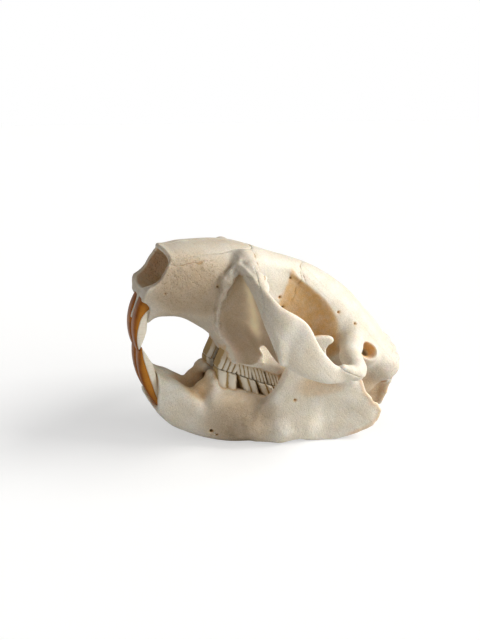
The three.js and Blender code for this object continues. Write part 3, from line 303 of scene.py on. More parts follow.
def cranium_side(x, s, t):
    mid = roof_mid(s)
    tall = np.where(t > mid, roof_top(s) - mid, mid - roof_low(s))
    muzzle_and_case = oval(x, t - mid, roof_wide(s), tall, 2.2)
    socket = np.maximum(eye_socket(x, s, t), (-28 - s) / 1.3)
    socket = np.maximum(socket, (t - 79) / 1.1)
    inner_wall = oval(x, t - mid, socket_wall(s), tall, 3)
    bone = union(inner_wall, carve(muzzle_and_case, socket / 1.3, 1.4), 2.5)
    bone = common(bone, s - 57.6 - 0.12 * (58 - t), 3)

    low = upper_jaw_low(s)
    high = upper_jaw_high(s)
    palate = oval(x, t - (low + high) / 2, upper_jaw_wide(s), (high - low) / 2, 3)
    palate = common(palate, s - 8 + 0.3 * (t - 40), 3)
    bone = union(bone, palate, 7)
    nasal_tip = 2.6 * np.maximum(1 - (x / 12) ** 2, 0) * np.clip((t - 65) / 3, 0, 1)
    bone = common(bone, nose_rim(t) - nasal_tip - s, 0.5)
    bone = carve(bone, common(t - socket_arch(x), s - socket_back(t), 0.6), 0.5)

    bone = union(bone, rods(x, s, t, ARCH_ROOT, 2), 3)
    bone = union(bone, zygomatic_plate(x, s, t), 2)
    bone = union(bone, rods(x, s, t, KNOBBY_RIDGE), 1)
    bone = union(bone, jugal_leaf(x, s, t), 1.6)
    bone = union(bone, rods(x, s, t, SQUAMOSAL_ROOT, 3), 4)

    for shape, sizes, blend in REAR_PARTS:
        bone = union(bone, shape(x, s, t, *sizes), blend)
    bone = carve(bone, nose_passage(x, s, t), 0.4)
    for shape, sizes, blend in OPENINGS:
        bone = carve(bone, shape(x, s, t, *sizes), blend)
    return bone


nasal_side = track((-68, 5), (-60, 7), (-55, 7.4), (-48, 7.4), (-41, 6.8), (-35, 6.2))
nasal_wide = track((-76, 12.4), (-48, 12.4), (-40, 10.6), (-33, 8.4), (-30.2, 5), (-29.4, 0), (-28.6, -6))
JUGAL_OUTLINE = [(-35.4, 76), (-33.8, 69.5), (-31.2, 65), (-29.4, 59.8), (-28.2, 55.4), (-25.6, 50.4),
                 (-22.4, 45), (-19, 36), (28, 36), (28, 47), (22.6, 47.3), (16.6, 47.7), (9.8, 48.6),
                 (5.3, 50.4), (2.6, 53), (2, 76)]


def nasal_space(x, s, t):
    """Where the two nasals are: above a line along the muzzle, inside an outline seen from above."""
    return common((roof_top(s) - nasal_side(s) - t) / 1.05, x - nasal_wide(s), 0.6)


def jugal_space(x, s, t):
    """Where the jugal is: behind the rim of the plate and under the squamosal's pointed arm."""
    return common(outline(s, t, JUGAL_OUTLINE), arch_out(s) - 7.4 - x, 0.4)


# ---- lower jaw, left half, in the upright frame --------------------------------------------------------
body_x = track((-50, 4.8), (-42, 5.8), (-33, 7.4), (-25, 9.8), (-15, 12.8), (-5, 15.6), (5, 19.4), (15, 24),
               (25, 28))
body_wide = track((-50, 4.4), (-42, 5.6), (-33, 7.2), (-25, 8.8), (-15, 9.6), (-5, 9.2), (5, 8), (15, 5.6),
                  (25, 4))
body_low = track((-50, 23), (-47.5, 19.8), (-42, 12.4), (-36, 7.4), (-30, 4.4), (-22, 1.6), (-14, -0.2),
                 (-6, -0.9), (4, 0.2), (12, 2), (25, 3))
body_top = track((-50, 31), (-44, 35), (-39, 32.4), (-34, 29.6), (-28, 25), (-24, 22.4), (-20, 24.6),
                 (-12, 24), (-3, 22.2), (5, 20), (12, 19), (25, 20))
RAMUS = [(-2, 3), (-1, 14), (0.5, 19), (3.6, 23), (7, 28), (9.4, 33), (11.2, 38.5), (14, 43.6), (18, 48),
         (22, 50.2), (26.5, 50.9), (30, 50.6), (31.8, 49.6), (32.1, 48.4), (31.4, 47.4), (29.4, 46.4),
         (28.4, 44.6), (28.4, 42), (30.4, 37.6), (33.6, 33.6), (38, 33.4), (42, 33), (44.8, 30.8), (46, 27.6),
         (47.8, 22.6), (50.4, 19.4), (51, 17.8), (53.6, 16.4), (55.2, 13), (53.4, 8.4), (48, 4.8), (41, 2),
         (33, 0.1), (26, 0.1), (17, 2.4), (8, 1.8)]
ramus_x = track((-2, 22.6), (6, 27), (14, 29.2), (24, 31), (34, 33.4), (44, 35.8), (56, 37.6))
socket_rim = track((-3, -46.4), (1.3, -47.6), (5, -49.1), (9.1, -50.2), (13, -51.6), (16.1, -52.7), (18, -53))
labial_rim = track((0, 7), (2, 4), (4, 1), (7, -0.8), (9, -1.4))
socket_shell = track((-60, 0.8), (-50, 1.7), (-44, 2.3), (-36, 4), (-28, 9), (-22, 40))
# The edge of the bone round the lower cheek teeth: the slope before them, their front and tongue side,
# and the lower edge on the cheek side.
LOWER_ALVEOLUS = [[(6.8, -31.2, 8.5, 4), (7.2, -29, 14, 3.2), (7.6, -26.8, 20.8, 1.7)],
                  [(12.2, -25, 15.6, 2), (11, -26.6, 19, 1.6), (7.6, -27, 20.8, 1.6), (4.2, -26.4, 20.4, 1.8),
                   (5.6, -14, 19, 1.6), (9.4, -1, 18.6, 1.8)],
                  [(12.2, -25, 14.6, 2.3), (13.8, -14, 16.4, 2), (16.6, -5, 16.8, 2)]]
# What is joined to the jaw or cut from it, in turn: how, the shape, its sizes and how softly it blends.
JAW_PARTS = [
    (union, rods, ([(36.4, 33, 32.4, 2.2), (36.4, 39, 31.4, 2.8)],), 2),        # the joint's knob
    (union, rods, ([(26, 18, 24, 3), (33.6, 38, 30, 3)],), 5),                  # the beam below the joint
    (union, rods, ([(28, 22, 1.6, 2.4), (31, 34, 1.6, 2.4), (35, 48, 6, 1.6)],), 3),    # the rim of the angle
    (carve, ellipsoid, ((41.5, 26, 14), (7, 17, 8)), 4),                        # the hollow of the angle
    (union, rods, ([(25, -6, 9, 2.4), (26.6, 8, 7, 2.6), (30, 20, 8.6, 1.2)],), 8),     # the cheek's ridge
    (union, ellipsoid, ((28.4, 8.4, 7.6), (3.4, 3.6, 3.4)), 4),                 # two low bumps on it
    (union, ellipsoid, ((22.4, -10.4, 7.8), (2.4, 2.6, 2.8)), 3)]
JAW_HOLES = [[(22, -22.5, 7.6, 0.9), (12, -20, 9, 0.7)], [(21, -19.5, 5.6, 0.5), (14, -18.5, 6, 0.5)],
             [(38, 14.1, 22.4, 0.6), (28, 14, 22, 0.5)]]

# ---- teeth ---------------------------------------------------------------------------------------------
INCISOR_CORE = 4.35             # middle of each incisor, off the skull's middle plane
INCISOR_HALF = 4.05
UPPER_ARC = dict(s=-44, t=41, inner=21, outer=27.1)
LOWER_ARC = dict(s=-28, t=33, inner=30.5, outer=37.5)
ENAMEL_PROUD = 0.05             # how far the enamel stands out from the dentine
UPPER_FACET = -64.4             # where the worn face of each tip lies along s
LOWER_FACET = -64.1
# How far back from the incisor's front the enamel reaches down each side, as a radius of its arc.
upper_enamel_edge = track((22, 26.5), (27, 26.3), (33.8, 25.3), (39, 24.4), (42.6, 22.8), (46, 20.4))
lower_enamel_edge = track((0, 36.2), (4, 35.2), (10.4, 34), (15.9, 34.2), (22.9, 35.8), (26, 36.3))
ROW_START = -27.6               # front of the cheek teeth, along s
ROW_GAP = 0.3
# Width and length of each cheek tooth at its chewing surface, and how far it leans per millimetre.
UPPER_TEETH = [(9.2, 9.4, -0.04), (8.6, 7.8, 0.6), (8.2, 7.3, 0.8), (7.6, 6.8, 0.8)]
LOWER_TEETH = [(8.8, 10, 0.35), (8.6, 8.4, 0.8), (8.4, 8.2, 1), (7.8, 7.4, 1)]
upper_row_x = track((-30, 7.4), (2, 13.4))
lower_row_x = track((-30, 8.2), (4, 15.2))


def reach_from(arc, s, t):
    return np.hypot(s - arc["s"], t - arc["t"])


def pitched(y, z):
    """An upright point's place in the cranium's frame."""
    return y * math.cos(PITCH) - z * math.sin(PITCH), y * math.sin(PITCH) + z * math.cos(PITCH)


def upright(s, t):
    return s * math.cos(PITCH) + t * math.sin(PITCH), -s * math.sin(PITCH) + t * math.cos(PITCH)


def jaw_side(x, y, z):
    low = body_low(y)
    high = body_top(y)
    bone = oval(x - body_x(y), z - (low + high) / 2, body_wide(y), (high - low) / 2, 2.7)
    bone = common(bone, np.abs(y + 12) - 37.4, 3)
    lean = 0.14 * (z - 20) * np.clip((y - 30) / 20, 0, 1) + 0.08 * np.maximum(z - 30, 0)
    sheet = np.abs(x - ramus_x(y) + lean) - mix(2.4, 1.1, np.clip(y / 45, 0, 1))
    bone = union(bone, common(sheet, outline(y, z, RAMUS) - 0.2, 1.4), 4)
    for join, shape, sizes, blend in JAW_PARTS:
        bone = join(bone, shape(x, y, z, *sizes), blend)
    s, t = pitched(y, z)
    for side in LOWER_ALVEOLUS:
        bone = union(bone, rods(x, s, t, side, 2), 3)
    # Round the incisor the bone is a thin shell that follows the tooth, cut back to the socket's rim.
    bone = common(bone, reach_from(LOWER_ARC, s, t) - LOWER_ARC["outer"] - socket_shell(s), 1)
    bone = carve(bone, common(s - socket_rim(t), labial_rim(x) - t, 0.8), 0.5)
    for hole in JAW_HOLES:
        bone = carve(bone, rods(x, y, z, hole), 0.5)
    bone = common(bone, JAW_CLEARANCE - cranium_side(x, s, t), 0.5)
    return common(bone, SEAM - x, 0.4)


def incisor(x, s, t, arc):
    reach = reach_from(arc, s, t)
    middle = (arc["inner"] + arc["outer"]) / 2
    return oval(x - INCISOR_CORE, reach - middle, INCISOR_HALF, (arc["outer"] - arc["inner"]) / 2, 3.4)


def upper_incisor(x, s, t):
    tooth = incisor(x, s, t, UPPER_ARC)
    return common(common(tooth, s - UPPER_FACET - 0.04 * (t - 22), 0.4), t - 49, 1)


def lower_incisor(x, s, t):
    tooth = incisor(x, s, t, LOWER_ARC)
    bevel = (t - 26.2 + 0.84 * (s - LOWER_FACET)) / 1.3
    return common(common(tooth, LOWER_FACET - s, 0.4), common(bevel, s + 40, 1), 0.4)


def fold_depth(u, ribs):
    """0 on the crown of each rib along a tooth's side, 1 in the folds between them."""
    return 1 - np.abs(np.sin(math.pi * ribs * u))


def cheek_tooth_row(x, s, t, sizes, row_x, ribs, low, high):
    """The tooth row, with the place along each tooth (0 to 1) for the folds."""
    best = np.full(np.broadcast(x, s, t).shape, 1e3, np.float32)
    along = np.zeros_like(best)
    start = ROW_START
    for wide, long, lean in sizes:
        middle = start + long / 2
        start += long + ROW_GAP
        u = (s + lean * (t - OCCLUSAL_T) - middle) / long + 0.5
        across = x - row_x(s + lean * (t - OCCLUSAL_T))
        corner = np.clip(1 - np.abs(2 * u - 1) ** 5, 0, 1)
        swell = 1 + 0.03 * np.sin((t - OCCLUSAL_T) * 0.6)
        cheek = across - wide * swell * (0.5 - 0.12 * fold_depth(u, ribs) - 0.1 * (1 - corner))
        tongue = -across - wide * (0.5 - 0.1 * fold_depth(u, 2) - 0.12 * (1 - corner))
        ends = (np.abs(u - 0.5) - 0.5) * long
        tooth = common(common(cheek, tongue, 0.6), ends, 0.9)
        near = tooth < best
        along = np.where(near, u, along)
        best = np.minimum(best, tooth)
    # The chewing surface is crossed by low ridges of enamel.
    wear = 0.22 * fold_depth(along, 2 * ribs)
    return common(best, common(low + wear - t, t - high + wear, 0.3), 0.9), along


# ---- from sample points to meshes ----------------------------------------------------------------------
class Block:
    """A box of sample points: x, y and z are its three axes, shaped to combine into a block."""

    def __init__(self, low, high, step):
        self.low = np.array(low, np.float32)
        axes = [np.arange(a, b + step, step, dtype=np.float32) for a, b in zip(low, high)]
        self.x, self.y, self.z = np.ix_(*axes)


def surface(field, low, step):
    """The mesh where the field is zero: points in millimetres, and quads that face outwards."""
    band = 3 * step
    grid = openvdb.FloatGrid(band)
    grid.copyFromArray(np.clip(field, -band, band).astype(np.float32))
    points, quads = grid.convertToQuads(0.0)
    return points * step + np.asarray(low, np.float32), quads


def both_sides(half):
    """A field for x from 0 up, doubled to run across the middle plane."""
    return np.concatenate([half[:0:-1], half], axis=0)


def blended(values, cell, share):
    """Values at the corners of each point's cell, weighed by the point's share of the way across it."""
    total = 0
    for corner in np.ndindex(2, 2, 2):
        weight = np.prod(np.where(corner, share, 1 - share), axis=1)
        total = total + weight * values[tuple(((cell + corner) % values.shape).T)]
    return total


def lumps(points, size, seed):
    """Smooth random values from -1 to 1 that change over a size in millimetres."""
    lattice = np.random.default_rng(seed).uniform(-1, 1, (48, 48, 48))
    cell = np.floor(points / size)
    share = points / size - cell
    return blended(lattice, cell.astype(int), share * share * (3 - 2 * share))


class Relief:
    """How far the bone closes in round a point: half on a flat face, more in a hollow, less on an edge."""

    def __init__(self, field, low, step):
        self.low = np.asarray(low)
        self.step = step
        self.near = self.filled_share(field, round(1.1 / step))
        self.wide = self.filled_share(field, round(4.4 / step))

    @staticmethod
    def filled_share(field, radius):
        share = (field < 0).astype(np.float32)
        for axis in range(3):
            pads = [(radius + 1, radius) if a == axis else (0, 0) for a in range(3)]
            total = np.cumsum(np.pad(share, pads, mode="edge"), axis=axis, dtype=np.float64)
            count = share.shape[axis]
            above = np.take(total, np.arange(count) + 2 * radius + 1, axis=axis)
            below = np.take(total, np.arange(count), axis=axis)
            share = ((above - below) / (2 * radius + 1)).astype(np.float32)
        return share

    def marks(self, points):
        place = np.clip((points - self.low) / self.step, 0, np.array(self.near.shape) - 1.01)
        cell = np.floor(place).astype(int)
        near = blended(self.near, cell, place - cell)
        wide = blended(self.wide, cell, place - cell)
        return {"edge": ramp(near, 0.47, 0.22), "groove": ramp(near, 0.54, 0.75),
                "hollow": ramp(wide, 0.5, 0.85)}


def ramp(value, start, end):
    """0 at start, 1 at end and smooth between."""
    u = np.clip((value - start) / (end - start), 0, 1)
    return u * u * (3 - 2 * u)


def patch(x, y, z, centre, radii):
    """1 in the middle of an ellipsoid, fading to 0 at its edge."""
    gaps = [(v - c) / r for v, c, r in zip((x, y, z), centre, radii)]
    return ramp(np.sqrt(sum(gap * gap for gap in gaps)), 1, 0.45)


def closeness(p, q, lines, reach):
    """1 on any of a set of lines in a plane, falling to 0 a reach away."""
    best = np.full(p.shape, 1e3)
    for line in lines:
        for start, end in zip(line, line[1:]):
            best = np.minimum(best, off_stretch(p, q, start, end))
    return np.clip(1 - best / reach, 0, 1)


# Sutures that stay closed. On the sides they are drawn in (s, t), on the roof in (x, s).
SIDE_SUTURES = [[(-30.4, 82), (-29.7, 80), (-31.6, 77.4), (-31.2, 74.4), (-28.9, 71.8), (-27.6, 73.6)],
                [(-29.4, 77.4), (-27.8, 75.4), (-28, 73)], [(-4.4, 79), (-3.4, 78), (-2.4, 76), (-1.4, 74.4)],
                [(-66.4, 64.6), (-60, 66.8), (-55, 69.2), (-50, 71.8)],
                [(-37.4, 72.2), (-39.6, 68.4), (-40.6, 62)]]
ROOF_SUTURES = [[(0, -27), (0, -2)], [(0, -1), (4, -2.6), (8, -5), (13, -4.4)], [(0, 51), (9, 52), (17, 50)],
                [(0, -29.6), (5, -31), (10, -30.4), (14, -30.6)]]


def cranium_marks(points):
    """Where the cranium, nasals and jugals are stained, given painted shade and a painted glow, pitted,
    streaked and crossed by sutures.
    """
    x, s, t = np.abs(points[:, 0]), points[:, 1], points[:, 2]
    shift = lumps(points, 2.2, 3)
    in_nose = ramp(nose_passage(x, s, t), 1.3, 0.3) * ramp(s - nose_rim(t), -3.4, 1)
    in_socket = ramp(s + shift, -11.6, -8.6) * ramp(eye_socket(x, s, t), 2.6, 0.4) * ramp(x, 26, 22)
    in_socket = in_socket * ramp(t, 80.5, 78) * ramp(t, 43, 50)
    in_ear = ramp(ellipsoid(x, s, t, *EAR_OPENING), 0.9, 0.1) * ramp(x, 33, 28)
    under = patch(x, s, t, (17, 43, 40), (16, 18, 15)) * ramp(t, 54, 48)
    behind = patch(x, s, t, (19, 56, 38), (9, 11, 14))
    base = ramp(t, 46, 34) * ramp(s, -22, 2) * ramp(x, 24, 18)
    tooth, _ = cheek_tooth_row(x, s, t, UPPER_TEETH, upper_row_x, 4, OCCLUSAL_T, 37)
    gum = ramp(tooth, 2.2, 0.3)
    u = (x - PLATE_IN_X) / (plate_out_x(t) - PLATE_IN_X)
    face = np.abs(s - plate_face(x, t))
    on_plate = ramp(face, 1.6, 0.5) * ramp(u, -0.05, 0.06) * ramp(u, 1, 0.9) * ramp(t, 74, 70)
    # A pale painted glow: light from behind shining through the thin plate, drawn as a streak down it.
    thin = on_plate * np.exp(-((u - 0.4 + 0.02 * shift) / 0.1) ** 2) * ramp(t, 45, 53) * ramp(t, 71, 64)
    muzzle = patch(x, s, t, (15, -55, 58), (14, 25, 20))
    holes = ramp(np.minimum.reduce([rods(x, s, t, hole) for hole in FORAMINA]), 0.8, -0.1)
    # Tan stain at the gums and, partly, behind the ear; painted shade in the nose, eye socket, ear opening
    # and foramina, under and behind the ear, on the skull base, the plate, the muzzle and a spot at the top
    # of the plate.
    stains_and_shade = [0.6 * in_nose, 0.86 * in_socket, in_ear, 0.9 * holes, 0.55 * under, 0.6 * behind,
              0.4 * base * ramp(s, -6, 4), 0.7 * gum, 0.5 * on_plate, 0.34 * muzzle,
              0.6 * patch(x, s, t, (16, -28.4, 72), (7, 3.2, 3.6))]
    crest = patch(x, s, t, (24, 53, 52), (16, 9, 16))
    knobs = ramp(rods(x, s, t, KNOBBY_RIDGE), 1, 0)
    moved = shift * 0.7
    side = closeness(s + moved, t - moved, SIDE_SUTURES, 1.5) * ramp(x, 6, 9)
    roof = closeness(x + moved, s - moved, ROOF_SUTURES, 1.5) * ramp(t, 60, 66)
    # Grey-brown painted shade on the muzzle, the front of the roof and the zygomatic plate, deepest low on
    # the plate, none inside the nose.
    grey_painted_shade = np.maximum.reduce([0.6 * muzzle, 0.34 * ramp(s, -20, -40),
                              on_plate * (0.4 + 0.3 * ramp(t, 58, 46))]) * (1 - in_nose)
    # Where the maxilla is lit through the eye socket: no stain and no painted shade there.
    lit_window = patch(x, s, t, (15, -10, 40), (9, 15, 10))
    pits = np.maximum.reduce([muzzle, 0.9 * crest, knobs, 0.9 * behind, 0.25 + 0 * x])
    return {"stain_and_shade": np.clip(np.maximum.reduce(stains_and_shade) * (1 - lit_window), 0, 1), "thin": thin, "grey_painted_shade": grey_painted_shade,
            "lit_window": lit_window, "pits": np.clip(pits, 0, 1), "seam": np.maximum(side, roof),
            "grain": 0.9 * t + 0.45 * s, "knobs": knobs}


def jaw_marks(points):
    """Where the lower jaw is stained and given painted shade, pitted and rough, and how the lines on its
    angle fan out.
    """
    x, y, z = points.T
    s, t = pitched(y, z)
    tooth, _ = cheek_tooth_row(x, s, t, LOWER_TEETH, lower_row_x, 2, 12, OCCLUSAL_T)
    inner = ramp(ramus_x(y) - 0.14 * (z - 20) * np.clip((y - 30) / 20, 0, 1) - x, 0.3, 1.6) * ramp(y, -2, 6)
    slope = patch(x, y, z, (5, -24, 22), (14, 14, 14))
    cheek = patch(x, y, z, (20, -6, 12), (16, 26, 18))
    rim = ramp(outline(y, z, RAMUS), -3, -0.6) * ramp(y, 34, 44)
    socket = ramp(lower_incisor(x, s, t), 1.6, 0.3)
    holes = ramp(np.minimum.reduce([rods(x, y, z, hole) for hole in JAW_HOLES]), 0.8, -0.1)
    # Tan stain at the gums, the incisor's socket and the rim of the angle; painted shade on the ramus's inner
    # side, the slope before the teeth, the cheek and in the foramina, and a painted shadow of the arch below
    # the joint.
    stains_and_shade = [0.75 * ramp(tooth, 2.4, 0.3), 0.6 * inner, 0.7 * slope, 0.5 * rim, 0.6 * socket,
              0.4 * patch(x, y, z, (34, 25, 28), (8, 15, 7)), 0.3 * cheek, 0.9 * holes]
    pits = np.maximum.reduce([0.75 * patch(x, y, z, (22, 0, 8), (18, 34, 16)), 0.35 + 0 * x])
    fan = np.arctan2(z - 36, y - 18) * 26
    # Grey-brown painted shade on the cheek of the jaw.
    return {"stain_and_shade": np.clip(np.maximum.reduce(stains_and_shade), 0, 1), "thin": 0 * x, "grey_painted_shade": 0.65 * cheek,
            "pits": pits, "seam": 0 * x, "grain": fan, "knobs": rim}


def to_world(points, in_cranium_frame):
    world = points.astype(np.float64)
    if in_cranium_frame:
        world[:, 1], world[:, 2] = upright(points[:, 1], points[:, 2])
    world[:, 1] -= MID_Y
    return world * MM


def make_piece(name, points, quads, material, node, marks, heave=None, in_cranium_frame=True):
    """Builds a piece from points in millimetres; heave moves each point along its normal."""
    mesh = bpy.data.meshes.new(name)
    mesh.vertices.add(len(points))
    places = to_world(points, in_cranium_frame)
    mesh.vertices.foreach_set("co", places.astype(np.float32).ravel())
    mesh.loops.add(quads.size)
    mesh.loops.foreach_set("vertex_index", quads.astype(np.int32).ravel())
    mesh.polygons.add(len(quads))
    mesh.polygons.foreach_set("loop_start", np.arange(0, quads.size, 4, dtype=np.int32))
    mesh.polygons.foreach_set("loop_total", np.full(len(quads), 4, np.int32))
    mesh.update(calc_edges=True)
    if heave is not None:
        normals = np.empty(len(points) * 3, np.float32)
        mesh.vertices.foreach_get("normal", normals)
        places += normals.reshape(-1, 3) * heave[:, None] * MM
        mesh.vertices.foreach_set("co", places.astype(np.float32).ravel())
    mesh.polygons.foreach_set("use_smooth", np.ones(len(quads), bool))
    for label, values in marks.items():
        layer = mesh.attributes.new(label, "FLOAT", "POINT")
        layer.data.foreach_set("value", values.astype(np.float32))
    mesh.materials.append(material)
    piece = bpy.data.objects.new(name, mesh)
    bpy.context.scene.collection.objects.link(piece)
    triangles = 2 * len(quads)
    if triangles > MOST_TRIANGLES:
        fewer = piece.modifiers.new("fewer", "DECIMATE")
        fewer.ratio = MOST_TRIANGLES / triangles
        graph = bpy.context.evaluated_depsgraph_get()
        thinned = bpy.data.meshes.new_from_object(piece.evaluated_get(graph))
        piece.modifiers.remove(fewer)
        piece.data = thinned
    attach(piece, "root")
    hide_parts(node)


# ---- materials -------------------------------------------------------------------------------------------
def linear(hex_colour):
    channels = [int(hex_colour[i:i + 2], 16) / 255 for i in (0, 2, 4)]
    return tuple(c / 12.92 if c <= 0.04045 else ((c + 0.055) / 1.055) ** 2.4 for c in channels) + (1.0,)


def add(tree, kind, settings=None, links=None):
    """Adds a node; settings are attributes or input values, links feed inputs from outputs."""
    node = tree.nodes.new(kind)
    for key, value in (settings or {}).items():
        if isinstance(key, str) and hasattr(node, key):
            setattr(node, key, value)
        else:
            node.inputs[key].default_value = value
    for key, output in (links or {}).items():
        tree.links.new(output, node.inputs[key])
    return node


def new_tree(name):
    material = bpy.data.materials.new(name)
    material.use_nodes = True
    material.node_tree.nodes.clear()
    return material, material.node_tree


def bone_material():
    """Bone that was boiled, degreased and bleached: matt cream, tan where stained and as painted shade, with
    tan and brown painted shade in the hollows and grooves, greyer painted shade on faces in shade, edges
    paler by wear and by a painted highlight, a pale painted glow where a thin wall lets light through, and
    open pores and hair-thin sutures."""
    material, tree = new_tree("dry_degreased_bone")
    place = add(tree, "ShaderNodeTexCoord").outputs["Object"]
    mark = {name: add(tree, "ShaderNodeAttribute", {"attribute_name": name}).outputs["Fac"]
            for name in ("edge", "groove", "hollow", "stain_and_shade", "thin", "grey_painted_shade", "pits", "seam", "grain")}
    # Clouds of ivory 9 mm across, mottling 2.5 mm across and a surface grain of 0.5 mm.
    clouds, mottle, fine = (
        add(tree, "ShaderNodeTexNoise", {"Scale": 1000 / size, "Detail": detail},
            {"Vector": place}).outputs[0] for size, detail in ((9, 3), (2.5, 4), (0.5, 2)))
    cloud_share = add(tree, "ShaderNodeMapRange", {"From Min": 0.35, "From Max": 0.65}, {"Value": clouds})
    colour = add(tree, "ShaderNodeMix", {"data_type": "RGBA", 6: linear("f0eadd"), 7: linear("e8deca")},
                 {0: cloud_share.outputs[0]}).outputs[2]

    # Streaks of bone fibre, about 1 mm apart, where the bone is smooth.
    fibre = add(tree, "ShaderNodeTexNoise", {"noise_dimensions": "1D", "Scale": 1.0, "Detail": 3},
                {"W": mark["grain"]}).outputs[0]
    streak = add(tree, "ShaderNodeMapRange", {"From Min": 0.5, "From Max": 0.8, "To Max": 0.3},
                 {"Value": fibre}).outputs[0]
    smooth = add(tree, "ShaderNodeMath", {"operation": "SUBTRACT", 0: 0.9, "use_clamp": True},
                 {1: mark["pits"]}).outputs[0]
    # Tan stains and painted shade, broken up by the mottling, and painted shade, tan and brown, in the
    # hollows and grooves.
    uneven = add(tree, "ShaderNodeMapRange",
                 {"From Min": 0.3, "From Max": 0.7, "To Min": 0.72, "To Max": 1.05},
                 {"Value": mottle}).outputs[0]
    stained_or_shaded = add(tree, "ShaderNodeMath", {"operation": "MULTIPLY", "use_clamp": True},
                  {0: mark["stain_and_shade"], 1: uneven}).outputs[0]
    hollow_painted_shade = add(tree, "ShaderNodeMath", {"operation": "MULTIPLY", 1: 0.38}, {0: mark["hollow"]}).outputs[0]
    groove_painted_shade = add(tree, "ShaderNodeMath", {"operation": "MULTIPLY", 1: 0.5}, {0: mark["groove"]}).outputs[0]
    # The grain speckles the bone, and the edges, paler by wear and by a painted highlight, are less bright
    # under painted shade.
    speckle = add(tree, "ShaderNodeMapRange",
                  {"From Min": 0.35, "From Max": 0.65, "To Min": 0.86, "To Max": 1.04},
                  {"Value": fine}).outputs[0]
    bright = add(tree, "ShaderNodeMath", {"operation": "SUBTRACT", 0: 0.75, "use_clamp": True},
                 {1: mark["grey_painted_shade"]}).outputs[0]
    # Sutures are cracks about 0.5 mm wide whose line wanders with the mottling.
    wander = add(tree, "ShaderNodeMath", {"operation": "MULTIPLY_ADD", 1: 0.34, 2: -0.17},
                 {0: mottle}).outputs[0]
    line = add(tree, "ShaderNodeMath", {"operation": "ADD"}, {0: mark["seam"], 1: wander}).outputs[0]
    crack = add(tree, "ShaderNodeMapRange",
                {"interpolation_type": "SMOOTHSTEP", "From Min": 0.8, "From Max": 0.95, "To Max": 0.6},
                {"Value": line}).outputs[0]
    # Pores 0.9 mm apart where the bone is rough, drawn about 0.4 mm wide, coarser than real ones, to show.
    cells = add(tree, "ShaderNodeTexVoronoi", {"Scale": 1000 / 0.9}, {"Vector": place}).outputs["Distance"]
    round_pore = add(tree, "ShaderNodeMapRange",
                     {"interpolation_type": "SMOOTHSTEP", "From Min": 0.36, "From Max": 0.14},
                     {"Value": cells}).outputs[0]
    open_here = add(tree, "ShaderNodeMapRange", {"From Min": 0.2, "From Max": 0.5},
                    {"Value": clouds}).outputs[0]

    streaked, worn_edge_and_highlight, rough, pitted = (
        add(tree, "ShaderNodeMath", {"operation": "MULTIPLY"}, {0: a, 1: b}).outputs[0]
        for a, b in ((streak, smooth), (mark["edge"], bright), (mottle, mark["pits"]),
                     (mark["pits"], open_here)))
    pore = add(tree, "ShaderNodeMath", {"operation": "MULTIPLY"}, {0: round_pore, 1: pitted}).outputs[0]
    dark_pore = add(tree, "ShaderNodeMath", {"operation": "MULTIPLY", 1: 0.45}, {0: pore}).outputs[0]

    # The colours lie one over another, and the speckle scales those below it.
    # In this list the pale yellow is a painted glow, the hollow and groove tints and the grey-brown are
    # painted shade, the tan is stain and painted shade, and the pale edge is wear and a painted highlight.
    for share, over in ((streaked, "cdbb98"), (stained_or_shaded, "e0b068"), (hollow_painted_shade, "d0a568"),
                        (groove_painted_shade, "a47a45"), (mark["grey_painted_shade"], "9a8263"), (speckle, None), (worn_edge_and_highlight, "f8f3e7"),
                        (mark["thin"], "ffeec4"), (crack, "b58f5a"), (dark_pore, "9a7f58")):
        if over is None:
            colour = add(tree, "ShaderNodeVectorMath", {"operation": "SCALE"},
                         {"Vector": colour, "Scale": share}).outputs[0]
        else:
            colour = add(tree, "ShaderNodeMix", {"data_type": "RGBA", 7: linear(over)},
                         {0: share, 6: colour}).outputs[2]
    # So do the bumps, each with its strength, its depth in millimetres and whether it sinks in.
    under = {}
    for height, strength, depth, sunk in (
            (fine, 0.25, 0.12, False), (rough, 0.8, 0.6, False), (fibre, 0.3, 0.15, False),
            (pore, 0.8, 0.3, True), (crack, 0.8, 0.4, True)):
        normal = add(tree, "ShaderNodeBump", {"Strength": strength, "Distance": depth * MM, "invert": sunk},
                     {"Height": height} | under).outputs[0]
        under = {"Normal": normal}
    roughness = add(tree, "ShaderNodeMapRange", {"To Min": 0.46, "To Max": 0.66},
                    {"Value": mottle}).outputs[0]
    shader = add(tree, "ShaderNodeBsdfPrincipled",
                 {"IOR": 1.5, "Subsurface Weight": 0.3, "Subsurface Radius": (0.0026, 0.0014, 0.0007),
                  "Subsurface Scale": 1.0},
                 {"Base Color": colour, "Roughness": roughness, "Normal": normal})
    add(tree, "ShaderNodeOutputMaterial", None, {"Surface": shader.outputs["BSDF"]})
    return material


